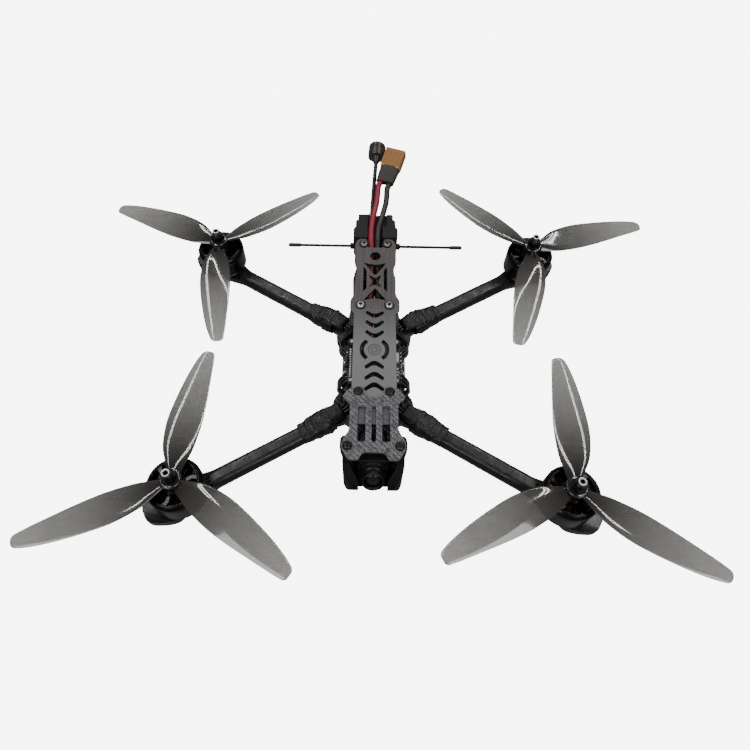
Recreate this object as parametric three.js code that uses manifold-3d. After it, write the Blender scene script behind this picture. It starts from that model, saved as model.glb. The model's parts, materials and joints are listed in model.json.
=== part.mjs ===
// Seven-inch freestyle quadcopter with a carbon plate frame, in millimetres.
// +Z is up, the nose faces -Y, and the underside of the belly plate lies on z = 0.
// The origin is the point of the belly midway between the four motors.
// Left and right are the pilot's, looking forward along -Y, so the left side is +X.

import * as THREE from 'three';
import { mergeVertices } from 'three/addons/utils/BufferGeometryUtils.js';
import Module from 'manifold-3d';

const wasm = await Module();
wasm.setup();

// ---------------------------------------------------------------- driving dimensions

const MOTOR_X = 116.5; // half the left-to-right motor spacing
const MOTOR_Y = 92.5; // half the front-to-rear motor spacing
const ARM_ROOT_Y = 22; // where an arm's centre line crosses the middle plane
const ARM_WIDTH = 11;
const ARM_ROOT_WIDTH = 14;
const ARM_GAP = 0.4; // from an arm's root to the middle plane

const BELLY_TOP = 2.5; // top of the belly plate, where the arms start
const ARM_TOP = 7.5;
const DECK_TOP = 10; // top of the main deck, where the standoffs start
const ROOF_BOTTOM = 35;
const ROOF_TOP = 37.5;
const FRONT_PLATE_TOP = 39.5;

const SCREW_RADIUS = 1.5; // M3
const SCREW_HOLE = 1.8;
const STANDOFF_RADIUS = 2.5;

const FRONT_POST = { x: 9.8, y: -35.2 };
const MIDDLE_POST = { x: 9.8, y: 33.1 };
const REAR_POST = { x: 8.4, y: 89.2 };
const NOSE_SCREW = { x: 15.5, y: -71.5 };

const BELL_RADIUS = 16.75; // a 2807 motor
const STATOR_RADIUS = 14.1;
const SHAFT_RADIUS = 2.5;
const SHAFT_BORE = 2.9;
const BELL_BOTTOM = 11;
const BELL_TOP = 28.5;
const HUB_TOP = 36.5;
const NUT_TOP = 41.5;
const SHAFT_TOP = 45;

const PROP_RADIUS = 88.9; // seven inches across
const HUB_RADIUS = 6.7;
const BLADE_HEIGHT = 32.5; // height of a blade's middle
const BLADES = 3;

const STACK_Y = -3.5; // centre of the electronics stack
const STACK_PITCH = 30.5;
const ESC_TOP = 15;
const FLIGHT_TOP = 21.5;
const BOARD = 1.5;

const CAMERA = { y: -77, z: 24, tilt: THREE.MathUtils.degToRad(25) };
const CAMERA_HALF = 9.3;
const CHEEK_INNER = 9.8;

const RECEIVER = { y: 99.7, z: 24, half: 66 };
const VTX_BASE = [-3.2, 121.3, 30];
const VTX_NECK = [-0.1, 173.2, 46.4];
const VTX_HEAD_RADIUS = 6.7;
const VTX_HEAD_LENGTH = 11.7;

const LEAD_RADIUS = 2.2; // 12 AWG silicone wire
const PLUG_YAW = THREE.MathUtils.degToRad(-18.7);
const PLUG_RISE = THREE.MathUtils.degToRad(17);
const PLUG_SEAM = new THREE.Vector3(10.6, 158.5, 48.1); // where body and sheath meet
const PLUG_LENGTH = 16;
const SHEATH_LENGTH = 13;
const RUNNING_GAP = 0.3; // between touching solids

// Right is -X and left is +X; the front corners have the lower y.
const CORNERS = [
  { name: 'front_right', x: -1, y: -1, spin: 1, rest: 84.8 },
  { name: 'front_left', x: 1, y: -1, spin: -1, rest: 87.6 },
  { name: 'rear_right', x: -1, y: 1, spin: -1, rest: 37.6 },
  { name: 'rear_left', x: 1, y: 1, spin: 1, rest: 16.6 },
];

// ---------------------------------------------------------------- materials

const finish = (color, roughness, metalness = 0, opacity = 1) =>
  new THREE.MeshStandardMaterial({ color, roughness, metalness, opacity, transparent: opacity < 1 });

const materials = {
  roof: finish(0x77757a, 0.45),
  carbon: finish(0x2b2b2e, 0.35),
  frontPlate: finish(0x55565c, 0.3),
  steel: finish(0xc9c6c0, 0.3, 1),
  blackSteel: finish(0x1d1d1f, 0.35, 1),
  blackAlloy: finish(0x18181a, 0.4, 0.8),
  bell: finish(0x141416, 0.2, 0.8),
  stator: finish(0x5a3a22, 0.5, 0.4),
  propeller: finish(0x3a3a3d, 0.15, 0, 0.7),
  wrap: finish(0x1b1a19, 0.75),
  wire: finish(0x161616, 0.5),
  board: finish(0x1c2420, 0.5),
  plastic: finish(0x151517, 0.5),
  glass: finish(0x0c0d12, 0.05),
  flexible: finish(0x1e1f20, 0.8),
  redLead: finish(0xa82c3a, 0.45),
  blackLead: finish(0x1c1c1c, 0.45),
  plug: finish(0xd09a3c, 0.4),
};

// ---------------------------------------------------------------- shape helpers

// A closed solid for joining and cutting, from a geometry's positions alone.
function toSolid(geometry) {
  const bare = geometry.clone();
  bare.deleteAttribute('normal');
  bare.deleteAttribute('uv');
  const merged = mergeVertices(bare, 1e-4);
  const vertProperties = new Float32Array(merged.attributes.position.array);
  const triVerts = new Uint32Array(merged.index.array);
  return new wasm.Manifold(new wasm.Mesh({ numProp: 3, vertProperties, triVerts }));
}

function toGeometry(solid) {
  const mesh = solid.getMesh();
  const geometry = new THREE.BufferGeometry();
  geometry.setAttribute('position', new THREE.BufferAttribute(mesh.vertProperties, 3));
  geometry.setIndex(new THREE.BufferAttribute(mesh.triVerts, 1));
  return geometry;
}

// Joins the geometries in the first list and cuts away those in the second.
function combine(joined, cut = []) {
  let solid = joined.map(toSolid).reduce((whole, piece) => whole.add(piece));
  for (const tool of cut) solid = solid.subtract(toSolid(tool));
  return toGeometry(solid);
}

const box = (low, high) => new THREE.BoxGeometry(high[0] - low[0], high[1] - low[1], high[2] - low[2])
  .translate((low[0] + high[0]) / 2, (low[1] + high[1]) / 2, (low[2] + high[2]) / 2);

// Turns a profile of [radius, height] points about the Z axis.
const turned = (profile, segments) => new THREE.LatheGeometry(
  profile.map(([r, z]) => new THREE.Vector2(r, z)), segments).rotateX(Math.PI / 2);

// A rod of one radius along X, Y or Z, between two heights on that axis.
function rod(axis, radius, from, to, across = [0, 0, 0], segments = 12) {
  const geometry = new THREE.CylinderGeometry(radius, radius, to - from, segments);
  geometry.translate(0, (from + to) / 2, 0);
  if (axis === 'x') geometry.rotateZ(-Math.PI / 2);
  if (axis === 'z') geometry.rotateX(Math.PI / 2);
  return geometry.translate(...across);
}

// A closed outline through corners [x, y, radius], each rounded by its radius.
function rounded(corners, usual = 0, Kind = THREE.Shape) {
  const shape = new Kind();
  const count = corners.length;
  corners.forEach(([x, y, radius = usual], i) => {
    const corner = new THREE.Vector2(x, y);
    const before = new THREE.Vector2(...corners[(i + count - 1) % count].slice(0, 2));
    const after = new THREE.Vector2(...corners[(i + 1) % count].slice(0, 2));
    const reach = (other) => Math.min(radius, 0.45 * corner.distanceTo(other));
    const start = corner.clone().lerp(before, reach(before) / corner.distanceTo(before));
    const end = corner.clone().lerp(after, reach(after) / corner.distanceTo(after));
    if (i === 0) shape.moveTo(start.x, start.y);
    else shape.lineTo(start.x, start.y);
    if (radius > 0) shape.quadraticCurveTo(x, y, end.x, end.y);
  });
  shape.closePath();
  return shape;
}

const hole = (corners, radius = 0.8) => rounded(corners, radius, THREE.Path);

// The whole outline of a left-right symmetrical plate, from its +X half, front to rear.
const bothSides = (half) => [...half, ...[...half].reverse().map(([x, y, r]) => [-x, y, r])];

const roundHole = (x, y, radius, sides = 10) => new THREE.Path(Array.from({ length: sides }, (_, i) => {
  const angle = (2 * Math.PI * (i + 0.5)) / sides;
  return new THREE.Vector2(x + radius * Math.cos(angle), y + radius * Math.sin(angle));
}));

const pairHoles = ({ x, y }, radius = SCREW_HOLE) => [roundHole(x, y, radius), roundHole(-x, y, radius)];

// A flat plate from an outline with holes, between two heights.
function plate(outline, holes, bottom, top, curveSegments = 3) {
  const shape = outline.clone();
  shape.holes = holes;
  const settings = { depth: top - bottom, bevelEnabled: false, curveSegments };
  return new THREE.ExtrudeGeometry(shape, settings).translate(0, 0, bottom);
}

// A closed skin through rings of points, each ring with the same number of points.
function loft(rings) {
  const sides = rings[0].length;
  const points = rings.flat();
  const faces = [];
  for (let ring = 0; ring + 1 < rings.length; ring++) {
    for (let side = 0; side < sides; side++) {
      const a = ring * sides + side;
      const b = ring * sides + (side + 1) % sides;
      faces.push(a, b, b + sides, a, b + sides, a + sides);
    }
  }
  const last = (rings.length - 1) * sides;
  for (let side = 1; side + 1 < sides; side++) {
    faces.push(0, side + 1, side, last, last + side, last + side + 1);
  }
  const volume = faces.reduce((sum, _, i) => (i % 3 ? sum
    : sum + points[faces[i]].dot(points[faces[i + 1]].clone().cross(points[faces[i + 2]]))), 0);
  if (volume < 0) faces.reverse();
  const geometry = new THREE.BufferGeometry().setFromPoints(points);
  geometry.setIndex(faces);
  return geometry;
}

// A round wire along a smooth curve through the points.
function wire(points, radius, sides = 5, steps = 8) {
  const path = new THREE.CatmullRomCurve3(points.map((p) => new THREE.Vector3(...p)));
  const section = new THREE.Shape();
  for (let side = 0; side < sides; side++) {
    const angle = (2 * Math.PI * side) / sides;
    const place = [radius * Math.cos(angle), radius * Math.sin(angle)];
    if (side === 0) section.moveTo(...place);
    else section.lineTo(...place);
  }
  section.closePath();
  return new THREE.ExtrudeGeometry(section, { steps, extrudePath: path, bevelEnabled: false });
}

function piece(name, geometry, material, parent) {
  const mesh = new THREE.Mesh(geometry, material);
  mesh.name = name;
  parent.add(mesh);
  return mesh;
}

// ---------------------------------------------------------------- plates

// One of the frame's arrow-shaped slots: a bent band between its ends and its tip.
function chevron(endY, tipY, tipRadius = 1) {
  const half = 5.8;
  const thick = 1.25;
  const slope = (tipY - endY) / half;
  const lift = thick * Math.hypot(1, slope);
  const nose = thick * Math.sin(Math.atan(Math.abs(slope)));
  const side = Math.sign(tipY - endY);
  return hole([
    [-half - nose, endY - side * nose * 0.2 + thick * side * 0.6, 0], [0, tipY + side * lift, tipRadius],
    [half + nose, endY - side * nose * 0.2 + thick * side * 0.6, 0], [half, endY - side * thick, 0],
    [0, tipY - side * lift, tipRadius], [-half, endY - side * thick, 0],
  ]);
}

// One bracket-shaped slot of the pair that stands round the roof's middle.
function bracket(side) {
  const middleY = -3;
  const inner = 8.2;
  const outer = 10.5;
  const spread = THREE.MathUtils.degToRad(42);
  const facing = side > 0 ? 0 : Math.PI;
  const path = new THREE.Path();
  path.absarc(0, middleY, outer, facing - spread, facing + spread, false);
  path.absarc(0, middleY, inner, facing + spread, facing - spread, true);
  path.closePath();
  return path;
}

function roof() {
  const outline = rounded(bothSides([
    [13.5, -56.7, 1], [14.2, -54, 1], [14.2, 26, 2], [17, 29.5, 2], [17, 37.5, 2], [14.5, 42, 3],
    [13.2, 66.7, 3], [15, 72, 3], [15, 89.5, 3], [12.5, 94.5, 3], [6.5, 94.5, 2], [5.4, 91, 1], [5.4, 86, 1],
  ]));
  const mirrored = (corners) => [hole(corners, 0.6), hole(corners.map(([x, y]) => [-x, y]), 0.6)];
  return plate(outline, [
    ...pairHoles(FRONT_POST), ...pairHoles(MIDDLE_POST), ...pairHoles(REAR_POST),
    roundHole(0, 77.6, 3.75),
    hole([[-7, 70.3], [0, 68.2, 4], [7, 70.3], [0.8, 61], [-0.8, 61]]),
    ...mirrored([[9.2, 66.5], [6.9, 64], [6.9, 48.5], [9.2, 45.5]]),
    hole([[-3.9, 59.3], [0, 56.3], [3.9, 59.3], [2, 54], [3.9, 49.2], [0, 51.6], [-3.9, 49.2], [-2, 54]], 0.6),
    hole([[0, 46.9], [7.3, 38], [0, 39.8, 4], [-7.3, 38]]),
    chevron(27.2, 23.1, 3), chevron(19.7, 14.4), chevron(11.6, 6.4),
    bracket(1), bracket(-1),
    chevron(-17, -11.8), chevron(-25.2, -20), chevron(-33, -27.7, 3),
  ], ROOF_BOTTOM, ROOF_TOP, 1);
}

function frontPlate() {
  const outline = rounded(bothSides([
    [6.6, -75.4, 2.5], [8.9, -80.2, 1.2], [15, -80.2, 2], [19.2, -73, 3], [18.8, -68, 3], [14.7, -61, 2],
    [14.7, -43, 3], [18.8, -40.2, 1.5], [18.8, -37.2, 1.5], [15.5, -33.2, 1.5], [13.4, -32.2, 3],
    [6.6, -32.2, 1.5], [5.8, -36.8, 3], [2.6, -39.2, 3],
  ]));
  const slot = (x, half) => hole([[x - half, -68.6], [x + half, -68.6], [x + half, -45.3], [x - half, -45.3]], 0.7);
  return plate(outline, [
    ...pairHoles(FRONT_POST), ...pairHoles(NOSE_SCREW), slot(-7.4, 2.4), slot(0, 1.4), slot(7.4, 2.4),
  ], ROOF_TOP, FRONT_PLATE_TOP, 1);
}

function mainDeck() {
  const outline = rounded(bothSides([
    [13, -80, 3], [18.5, -77, 3], [18.5, -63, 3], [15, -56, 3], [15, -46, 3], [27, -35, 3], [27, -26, 4],
    [21, -17, 4], [21, 16, 4], [27, 25, 4], [27, 33, 3], [18.5, 42, 4], [16, 63, 3], [16.5, 79, 3],
    [14, 91, 3], [11, 94.5, 2],
  ]));
  return plate(outline, [
    ...pairHoles(FRONT_POST), ...pairHoles(MIDDLE_POST), ...pairHoles(REAR_POST),
    hole([[-9, -66], [9, -66], [9, -48], [-9, -48]], 3),
    hole([[-8, 46], [8, 46], [8, 74], [-8, 74]], 3),
  ], ARM_TOP, DECK_TOP, 1);
}

function bellyPlate() {
  const outline = rounded(bothSides([
    [10, -45, 3], [27, -35, 3], [27, -26, 4], [21, -17, 4], [21, 16, 4], [27, 25, 4], [27, 34, 3], [10, 45, 3],
  ]));
  const window = (side) => hole([[-9, side * 14], [9, side * 14], [5, side * 25], [-5, side * 25]], 2);
  return plate(outline, [window(1), window(-1)], 0, BELLY_TOP, 1);
}

// ---------------------------------------------------------------- arms and their wiring

const ARM_ANGLE = Math.atan2(MOTOR_Y - ARM_ROOT_Y, MOTOR_X);
const ARM_LENGTH = Math.hypot(MOTOR_X, MOTOR_Y - ARM_ROOT_Y);
const WIRE_RADIUS = 1.1;
const WIRE_PITCH = 2.4;
const ARM_WIRE_HEIGHT = ARM_TOP + RUNNING_GAP + WIRE_RADIUS;
const DECK_WIRE_HEIGHT = DECK_TOP + RUNNING_GAP + WIRE_RADIUS;

// An arm in its own frame: X runs from the middle plane out to the motor.
// The mitre at the root follows the middle plane, so it leans the other way on two corners.
function armOutline(lean) {
  const root = (v) => (ARM_GAP + lean * v * Math.sin(ARM_ANGLE)) / Math.cos(ARM_ANGLE);
  const half = ARM_WIDTH / 2;
  const rootHalf = ARM_ROOT_WIDTH / 2;
  const pad = ARM_LENGTH;
  const side = (sign) => [
    [root(sign * rootHalf), sign * rootHalf, 0], [24, sign * rootHalf, 3], [34, sign * half, 3],
    [pad - 22, sign * half, 4], [pad - 10, sign * 8.6, 4], [pad - 1, sign * 9.6, 3], [pad + 6.5, sign * 14.6, 3],
    [pad + 14.5, sign * 12.6, 4], [pad + 25, sign * 6.5, 4],
  ];
  return rounded([...side(-1), ...side(1).reverse()]);
}

// A tape wrap with a bulge over the deck, and a tunnel for the arm and its wires.
function armWrap() {
  const sides = 8;
  const ring = ([x, low, high, half]) => {
    const middle = (low + high) / 2;
    const tall = (high - low) / 2;
    return Array.from({ length: sides }, (_, i) => {
      const angle = (2 * Math.PI * (i + 0.5)) / sides;
      const squared = (value) => Math.sign(value) * Math.abs(value) ** 0.5;
      return new THREE.Vector3(x, half * squared(Math.cos(angle)), middle + tall * squared(Math.sin(angle)));
    });
  };
  const around = [[31.8, 1.2, 14.3, 8.2], [36, 0.8, 14.7, 8.7], [43, 1, 13.3, 8.3], [50, 1.2, 12.2, 7.4],
    [55, 1.4, 11.5, 6.8]];
  const over = [[23.8, 10.6, 14.1, 5], [26, 10.4, 14.8, 5.8], [34, 10.3, 14.8, 6.8]];
  const halfArm = ARM_WIDTH / 2 + RUNNING_GAP;
  const halfWires = WIRE_PITCH + WIRE_RADIUS + RUNNING_GAP;
  return combine([loft(around.map(ring)), loft(over.map(ring))], [
    box([20, -halfArm - 1.6, BELLY_TOP - RUNNING_GAP], [37, halfArm + 1.6, ARM_TOP + RUNNING_GAP]),
    box([30, -halfArm, BELLY_TOP - RUNNING_GAP], [60, halfArm, ARM_TOP + RUNNING_GAP]),
    box([10, -12, 7], [32.2, 12, DECK_TOP + RUNNING_GAP]),
    box([15, -halfWires, 9], [38.5, halfWires, DECK_WIRE_HEIGHT + WIRE_RADIUS + RUNNING_GAP]),
    box([30, -halfWires, 7], [60, halfWires, ARM_WIRE_HEIGHT + WIRE_RADIUS + RUNNING_GAP]),
  ]);
}

// Three phase wires: fanned out at the speed controller, side by side along the arm.
// Given in the frame of the whole drone for the corner at (side x, side y).
function phaseWires({ x, y }) {
  const along = (u, v) => [
    x * (u * Math.cos(ARM_ANGLE) - v * Math.sin(ARM_ANGLE)),
    y * (ARM_ROOT_Y + u * Math.sin(ARM_ANGLE) + v * Math.cos(ARM_ANGLE)),
  ];
  const wires = [-1, 0, 1].map((lane) => wire([
    [x * 18.9, STACK_Y + y * (9 + 3.2 * lane), ESC_TOP + RUNNING_GAP + WIRE_RADIUS],
    [x * 23.4, STACK_Y + y * (16 + 2.8 * lane), ESC_TOP + 1.2],
    [...along(18 - 1.5 * lane, 2.3 * lane - 2.6), DECK_WIRE_HEIGHT + 1],
    [...along(22.5, lane * WIRE_PITCH), DECK_WIRE_HEIGHT],
    [...along(30, lane * WIRE_PITCH), DECK_WIRE_HEIGHT],
    [...along(38, lane * WIRE_PITCH), ARM_WIRE_HEIGHT],
    [...along(46, lane * WIRE_PITCH), ARM_WIRE_HEIGHT],
  ], WIRE_RADIUS - 0.05, 5, 9));
  const ribbon = box([43, -WIRE_PITCH - WIRE_RADIUS, ARM_WIRE_HEIGHT - WIRE_RADIUS],
    [ARM_LENGTH - 15.5, WIRE_PITCH + WIRE_RADIUS, ARM_WIRE_HEIGHT + WIRE_RADIUS]);
  ribbon.rotateZ(Math.atan2(y * Math.sin(ARM_ANGLE), x * Math.cos(ARM_ANGLE))).translate(0, y * ARM_ROOT_Y, 0);
  return combine([...wires, ribbon]);
}

// ---------------------------------------------------------------- motors and propellers

// The fixed half of a motor: its mounting foot, the bearing tube and the wound stator.
const motorStator = () => turned([
  [SHAFT_BORE, ARM_TOP], [14, ARM_TOP], [14, 9], [12, 10], [6, 10], [6, 13],
  [STATOR_RADIUS, 13], [STATOR_RADIUS, 24], [SHAFT_BORE, 24], [SHAFT_BORE, ARM_TOP],
], 14);

// The turning half: a cup with windows in its top, and the threaded shaft.
function motorBell() {
  const inside = STATOR_RADIUS + 0.8;
  const cup = turned([
    [0, 8.5], [SHAFT_RADIUS, 8.5], [SHAFT_RADIUS, 24.8], [inside, 24.8], [inside, BELL_BOTTOM],
    [BELL_RADIUS, BELL_BOTTOM], [BELL_RADIUS, 26.5], [14.5, BELL_TOP], [SHAFT_RADIUS, BELL_TOP],
    [SHAFT_RADIUS, SHAFT_TOP], [0, SHAFT_TOP],
  ], 18);
  const window = new THREE.Shape();
  const half = THREE.MathUtils.degToRad(22);
  window.absarc(0, 0, 13.4, -half, half, false);
  window.absarc(0, 0, 7.6, half, -half, true);
  window.closePath();
  const windows = Array.from({ length: 6 }, (_, i) => plate(window, [], 20, 30, 1)
    .rotateZ((i * Math.PI) / 3));
  return combine([cup], windows);
}

// Plan outline of a blade, from root to tip: [radius, lead, trail, pitch in degrees, thickness].
// Lead and trail are the distances of the two edges from the blade's straight middle line.
const BLADE_STATIONS = [
  [4.5, 3.4, 3.4, 26, 2.6], [11, 6.6, 4.8, 25, 2.2], [20, 10.3, 7.0, 22, 1.8], [35, 12.4, 8.3, 17, 1.5],
  [50, 11.7, 7.9, 13.5, 1.3], [67, 9.5, 6.4, 10.5, 1.1], [80, 6.7, 5.1, 9, 1.0], [PROP_RADIUS, 3.2, 3.6, 8, 0.8],
];

function propeller(spin) {
  const bladeRing = ([radius, lead, trail, degrees, thickness]) => {
    const slope = Math.tan(THREE.MathUtils.degToRad(degrees));
    const half = thickness / 2;
    const section = [[lead, 0], [lead * 0.45, half], [-trail * 0.5, half], [-trail, 0],
      [-trail * 0.5, -half], [lead * 0.45, -half]];
    return section.map(([across, lift]) => {
      const arch = 0.04 * (1 - (across / lead) ** 2) * lead;
      return new THREE.Vector3(radius, spin * across, BLADE_HEIGHT + 0.62 * across * slope + lift + arch);
    });
  };
  const blade = loft(BLADE_STATIONS.map(bladeRing));
  const blades = Array.from({ length: BLADES }, (_, i) => blade.clone().rotateZ((i * 2 * Math.PI) / BLADES));
  const hub = turned([[0, BELL_TOP], [HUB_RADIUS, BELL_TOP], [HUB_RADIUS, HUB_TOP - 0.6],
    [HUB_RADIUS - 0.8, HUB_TOP], [0, HUB_TOP]], 12);
  return combine([hub, ...blades], [rod('z', SHAFT_BORE, BELL_TOP - 1, HUB_TOP + 1)]);
}

function propNut() {
  const across = 4.6; // corner radius of an 8 mm hexagon
  const hexagon = rounded(Array.from({ length: 6 }, (_, i) => [
    across * Math.cos((i * Math.PI) / 3), across * Math.sin((i * Math.PI) / 3)]));
  return plate(hexagon, [roundHole(0, 0, SHAFT_BORE)], HUB_TOP, NUT_TOP);
}

// ---------------------------------------------------------------- posts and screws

const standoff = () => turned([
  [SCREW_HOLE, DECK_TOP], [STANDOFF_RADIUS, DECK_TOP], [STANDOFF_RADIUS, ROOF_BOTTOM],
  [SCREW_HOLE, ROOF_BOTTOM], [SCREW_HOLE, DECK_TOP],
], 12);

// A button-head screw whose head stands on z = 0.
const buttonScrew = () => turned([
  [0, -9], [SCREW_RADIUS, -9], [SCREW_RADIUS, 0], [2.9, 0], [2.9, 0.7], [2.1, 1.6], [1.1, 1.6],
  [1.1, 0.6], [0, 0.6],
], 8);

// ---------------------------------------------------------------- electronics

const stackPegs = (bottom, top) => [-1, 1].flatMap((x) => [-1, 1].map((y) => rod('z', 2.3, bottom, top,
  [(x * STACK_PITCH) / 2, STACK_Y + (y * STACK_PITCH) / 2, 0], 8)));

function speedController() {
  const low = STACK_Y - 19;
  const high = STACK_Y + 19;
  return combine([
    plate(rounded([[-21.5, low], [21.5, low], [21.5, high], [-21.5, high]], 6), [], ESC_TOP - BOARD, ESC_TOP, 1),
    ...stackPegs(DECK_TOP, ESC_TOP - 1),
    ...[-1, 1].map((side) => box([side * 15.5 - 2.2, STACK_Y - 12, ESC_TOP - 0.2],
      [side * 15.5 + 2.2, STACK_Y + 12, ESC_TOP + 1.4])),
    box([-8, high - 4, ESC_TOP - 0.2], [8, high - 0.5, ESC_TOP + 0.8]),
  ]);
}

function flightController() {
  const pegBottom = ESC_TOP;
  const bottom = FLIGHT_TOP - BOARD;
  return combine([
    box([-18, STACK_Y - 18, bottom], [18, STACK_Y + 18, FLIGHT_TOP]), ...stackPegs(pegBottom, bottom + 1),
    box([-4, STACK_Y - 4, FLIGHT_TOP - 0.2], [4, STACK_Y + 4, FLIGHT_TOP + 1.2]),
    box([14.5, STACK_Y - 1, FLIGHT_TOP - 0.2], [19.5, STACK_Y + 7.5, FLIGHT_TOP + 3]),
    box([-19.5, STACK_Y - 4.5, FLIGHT_TOP - 0.2], [-13, STACK_Y + 4.5, FLIGHT_TOP + 2.6]),
  ]);
}

function videoTransmitter() {
  const y = 60;
  const pegs = [-1, 1].flatMap((x) => [-1, 1].map((side) => rod('z', 2, DECK_TOP, 13,
    [x * 12.5, y + side * 11.5, 0], 8)));
  return combine([...pegs, box([-15, y - 14, 12.5], [15, y + 14, 14]), box([-14, y - 13, 13.5], [14, y + 13, 19.5])]);
}

// ---------------------------------------------------------------- camera and its cheeks

// A cheek: curved in plan so that its horn shields the lens, with a boss at the tilt axis, a lip under the
// front plate and a foot on the main deck.
function cheek(side) {
  const layer = (corners, bottom, top) => plate(rounded(corners.map(([x, y, r]) => [side * x, y, r]), 0.5), [],
    bottom, top, 1);
  const wall = layer([
    [18.4, -64], [18.4, -80, 4], [17.7, -85.5, 4], [15.4, -90, 3], [12, -94, 1.2], [10.2, -94, 1.2], [8.2, -91.2, 1],
    [10.6, -87.5, 2], [13.2, -84, 3], [14.6, -78, 3], [14.6, -73.5, 1], [12, -73, 1], [12, -64],
  ], DECK_TOP, ROOF_TOP);
  const profile = rounded([
    [-63, 37.5], [-80, 37.5, 4], [-87, 35, 6], [-94, 30, 2], [-93.2, 24, 2], [-89.5, 14, 4], [-84, 10, 3], [-63, 10],
  ], 0.5);
  const lip = layer([
    [12, -64], [19, -64, 1.5], [20.1, -67, 2], [20.1, -73.2, 3], [16.4, -81.3, 1.2], [12, -81.3, 0.8],
  ], 34.8, ROOF_TOP);
  const foot = layer([
    [8, -66], [18, -66], [18, -82, 2], [14.5, -86, 2], [5.5, -86, 1], [5.5, -79.5, 1], [8, -79, 1],
  ], DECK_TOP, 11.4);
  const mask = new THREE.ExtrudeGeometry(profile, { depth: 60, bevelEnabled: false, curveSegments: 2 });
  mask.translate(0, 0, -30).applyMatrix4(new THREE.Matrix4().set(0, 0, 1, 0, 1, 0, 0, 0, 0, 1, 0, 0, 0, 0, 0, 1));
  const inner = side > 0 ? [CHEEK_INNER, 16] : [-16, -CHEEK_INNER];
  const boss = rod('x', 4.2, ...inner, [0, CAMERA.y, CAMERA.z]);
  const outer = side > 0 ? [13, 20] : [-20, -13];
  const pocket = rod('x', 2.4, ...outer, [0, CAMERA.y, CAMERA.z]);
  const relief = box([side > 0 ? 11 : -14.6, -73.5, 15], [side > 0 ? 14.6 : -11, -62, 31]);
  const shaped = toSolid(wall).intersect(toSolid(mask)).add(toSolid(boss)).add(toSolid(lip)).add(toSolid(foot));
  const screw = rod('z', SCREW_HOLE, 26, 40, [side * NOSE_SCREW.x, NOSE_SCREW.y, 0]);
  return toGeometry(shaped.subtract(toSolid(pocket)).subtract(toSolid(relief)).subtract(toSolid(screw)));
}

function cameraBody() {
  const half = CAMERA_HALF;
  const face = rounded([[-half, -half], [half, -half], [half, half], [-half, half]], 2);
  const body = plate(face, [], -8, 6.5, 2).rotateX(Math.PI / 2);
  const neck = rod('y', 7.6, -8.6, -6);
  return combine([body, neck]);
}

const cameraLens = () => turned([
  [0, 8.9], [6.2, 8.9], [6.2, 11], [7, 11.4], [7, 14.6], [6.4, 15.2], [5.6, 15.2], [5, 13.8], [0, 14.4],
], 20).rotateX(Math.PI / 2);

// ---------------------------------------------------------------- rear mount and antennas

function rearMount() {
  const tier = (half, from, to, bottom, top, radius) => plate(rounded([
    [-half, from], [half, from], [half, to], [-half, to]], radius), [], bottom, top, 2);
  const boss = rod('x', 2.4, -19, 19, [0, RECEIVER.y, RECEIVER.z], 10);
  return combine([
    tier(12.8, 84.8, 97, DECK_TOP, ROOF_BOTTOM, 1), tier(16.5, 95.2, 107, 17, 38, 3),
    tier(15, 104, 114.5, 18, 37.2, 1.5), tier(13.2, 112, 121, 21, 36.4, 1), boss,
  ], [
    ...[-1, 1].map((side) => rod('z', STANDOFF_RADIUS + 0.4, 0, 60, [side * REAR_POST.x, REAR_POST.y, 0])),
    box([-5.9, 80, 26], [5.2, 97, 60]), box([-5.9, 96.5, 34.8], [5.2, 108, 60]),
    box([-5.9, 107, 35.1], [8.4, 130, 60]),
    rod('x', 1.3, -30, 30, [0, RECEIVER.y, RECEIVER.z], 8),
    box([-7, 80, 9], [7, 93, 24]),
  ]);
}

function receiverAntenna() {
  const across = [0, RECEIVER.y, RECEIVER.z];
  const cap = 9.5;
  return combine([
    rod('x', 1.05, -RECEIVER.half, RECEIVER.half, across, 8),
    rod('x', 1.5, -RECEIVER.half, -RECEIVER.half + cap, across, 8),
    rod('x', 1.5, RECEIVER.half - cap, RECEIVER.half, across, 8),
  ]);
}

function videoAntenna() {
  const base = new THREE.Vector3(...VTX_BASE);
  const neck = new THREE.Vector3(...VTX_NECK);
  const stem = wire([[-3.1, 123, 30.4], [-2.6, 134, 33.6], [-1.4, 154, 40], VTX_NECK], 1.6, 8, 8);
  const nut = rod('y', 3.2, 0, 5, [0, 0, 0], 6).translate(base.x, base.y, base.z);
  const facing = neck.clone().sub(new THREE.Vector3(-1.4, 154, 40)).normalize();
  const head = turned([[0, -5], [2.1, -5], [4.4, -0.5], [VTX_HEAD_RADIUS, 0], [VTX_HEAD_RADIUS, VTX_HEAD_LENGTH - 2],
    [4.6, VTX_HEAD_LENGTH], [0, VTX_HEAD_LENGTH]], 16);
  head.applyQuaternion(new THREE.Quaternion().setFromUnitVectors(new THREE.Vector3(0, 0, 1), facing));
  head.translate(neck.x, neck.y, neck.z);
  return combine([stem, nut, head]);
}

// ---------------------------------------------------------------- battery leads and plug

const plugFacing = new THREE.Vector3(0, 1, 0)
  .applyAxisAngle(new THREE.Vector3(1, 0, 0), PLUG_RISE).applyAxisAngle(new THREE.Vector3(0, 0, 1), PLUG_YAW);
const plugAcross = new THREE.Vector3(1, 0, 0).applyAxisAngle(new THREE.Vector3(0, 0, 1), PLUG_YAW);
const PIN_PITCH = 3.6; // each lead's distance from the plug's middle

// A point inside the sheath's cable end, for the lead on the given side.
const cableEntry = (side, back) => PLUG_SEAM.clone()
  .addScaledVector(plugFacing, -back).addScaledVector(plugAcross, side * PIN_PITCH).toArray();

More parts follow.
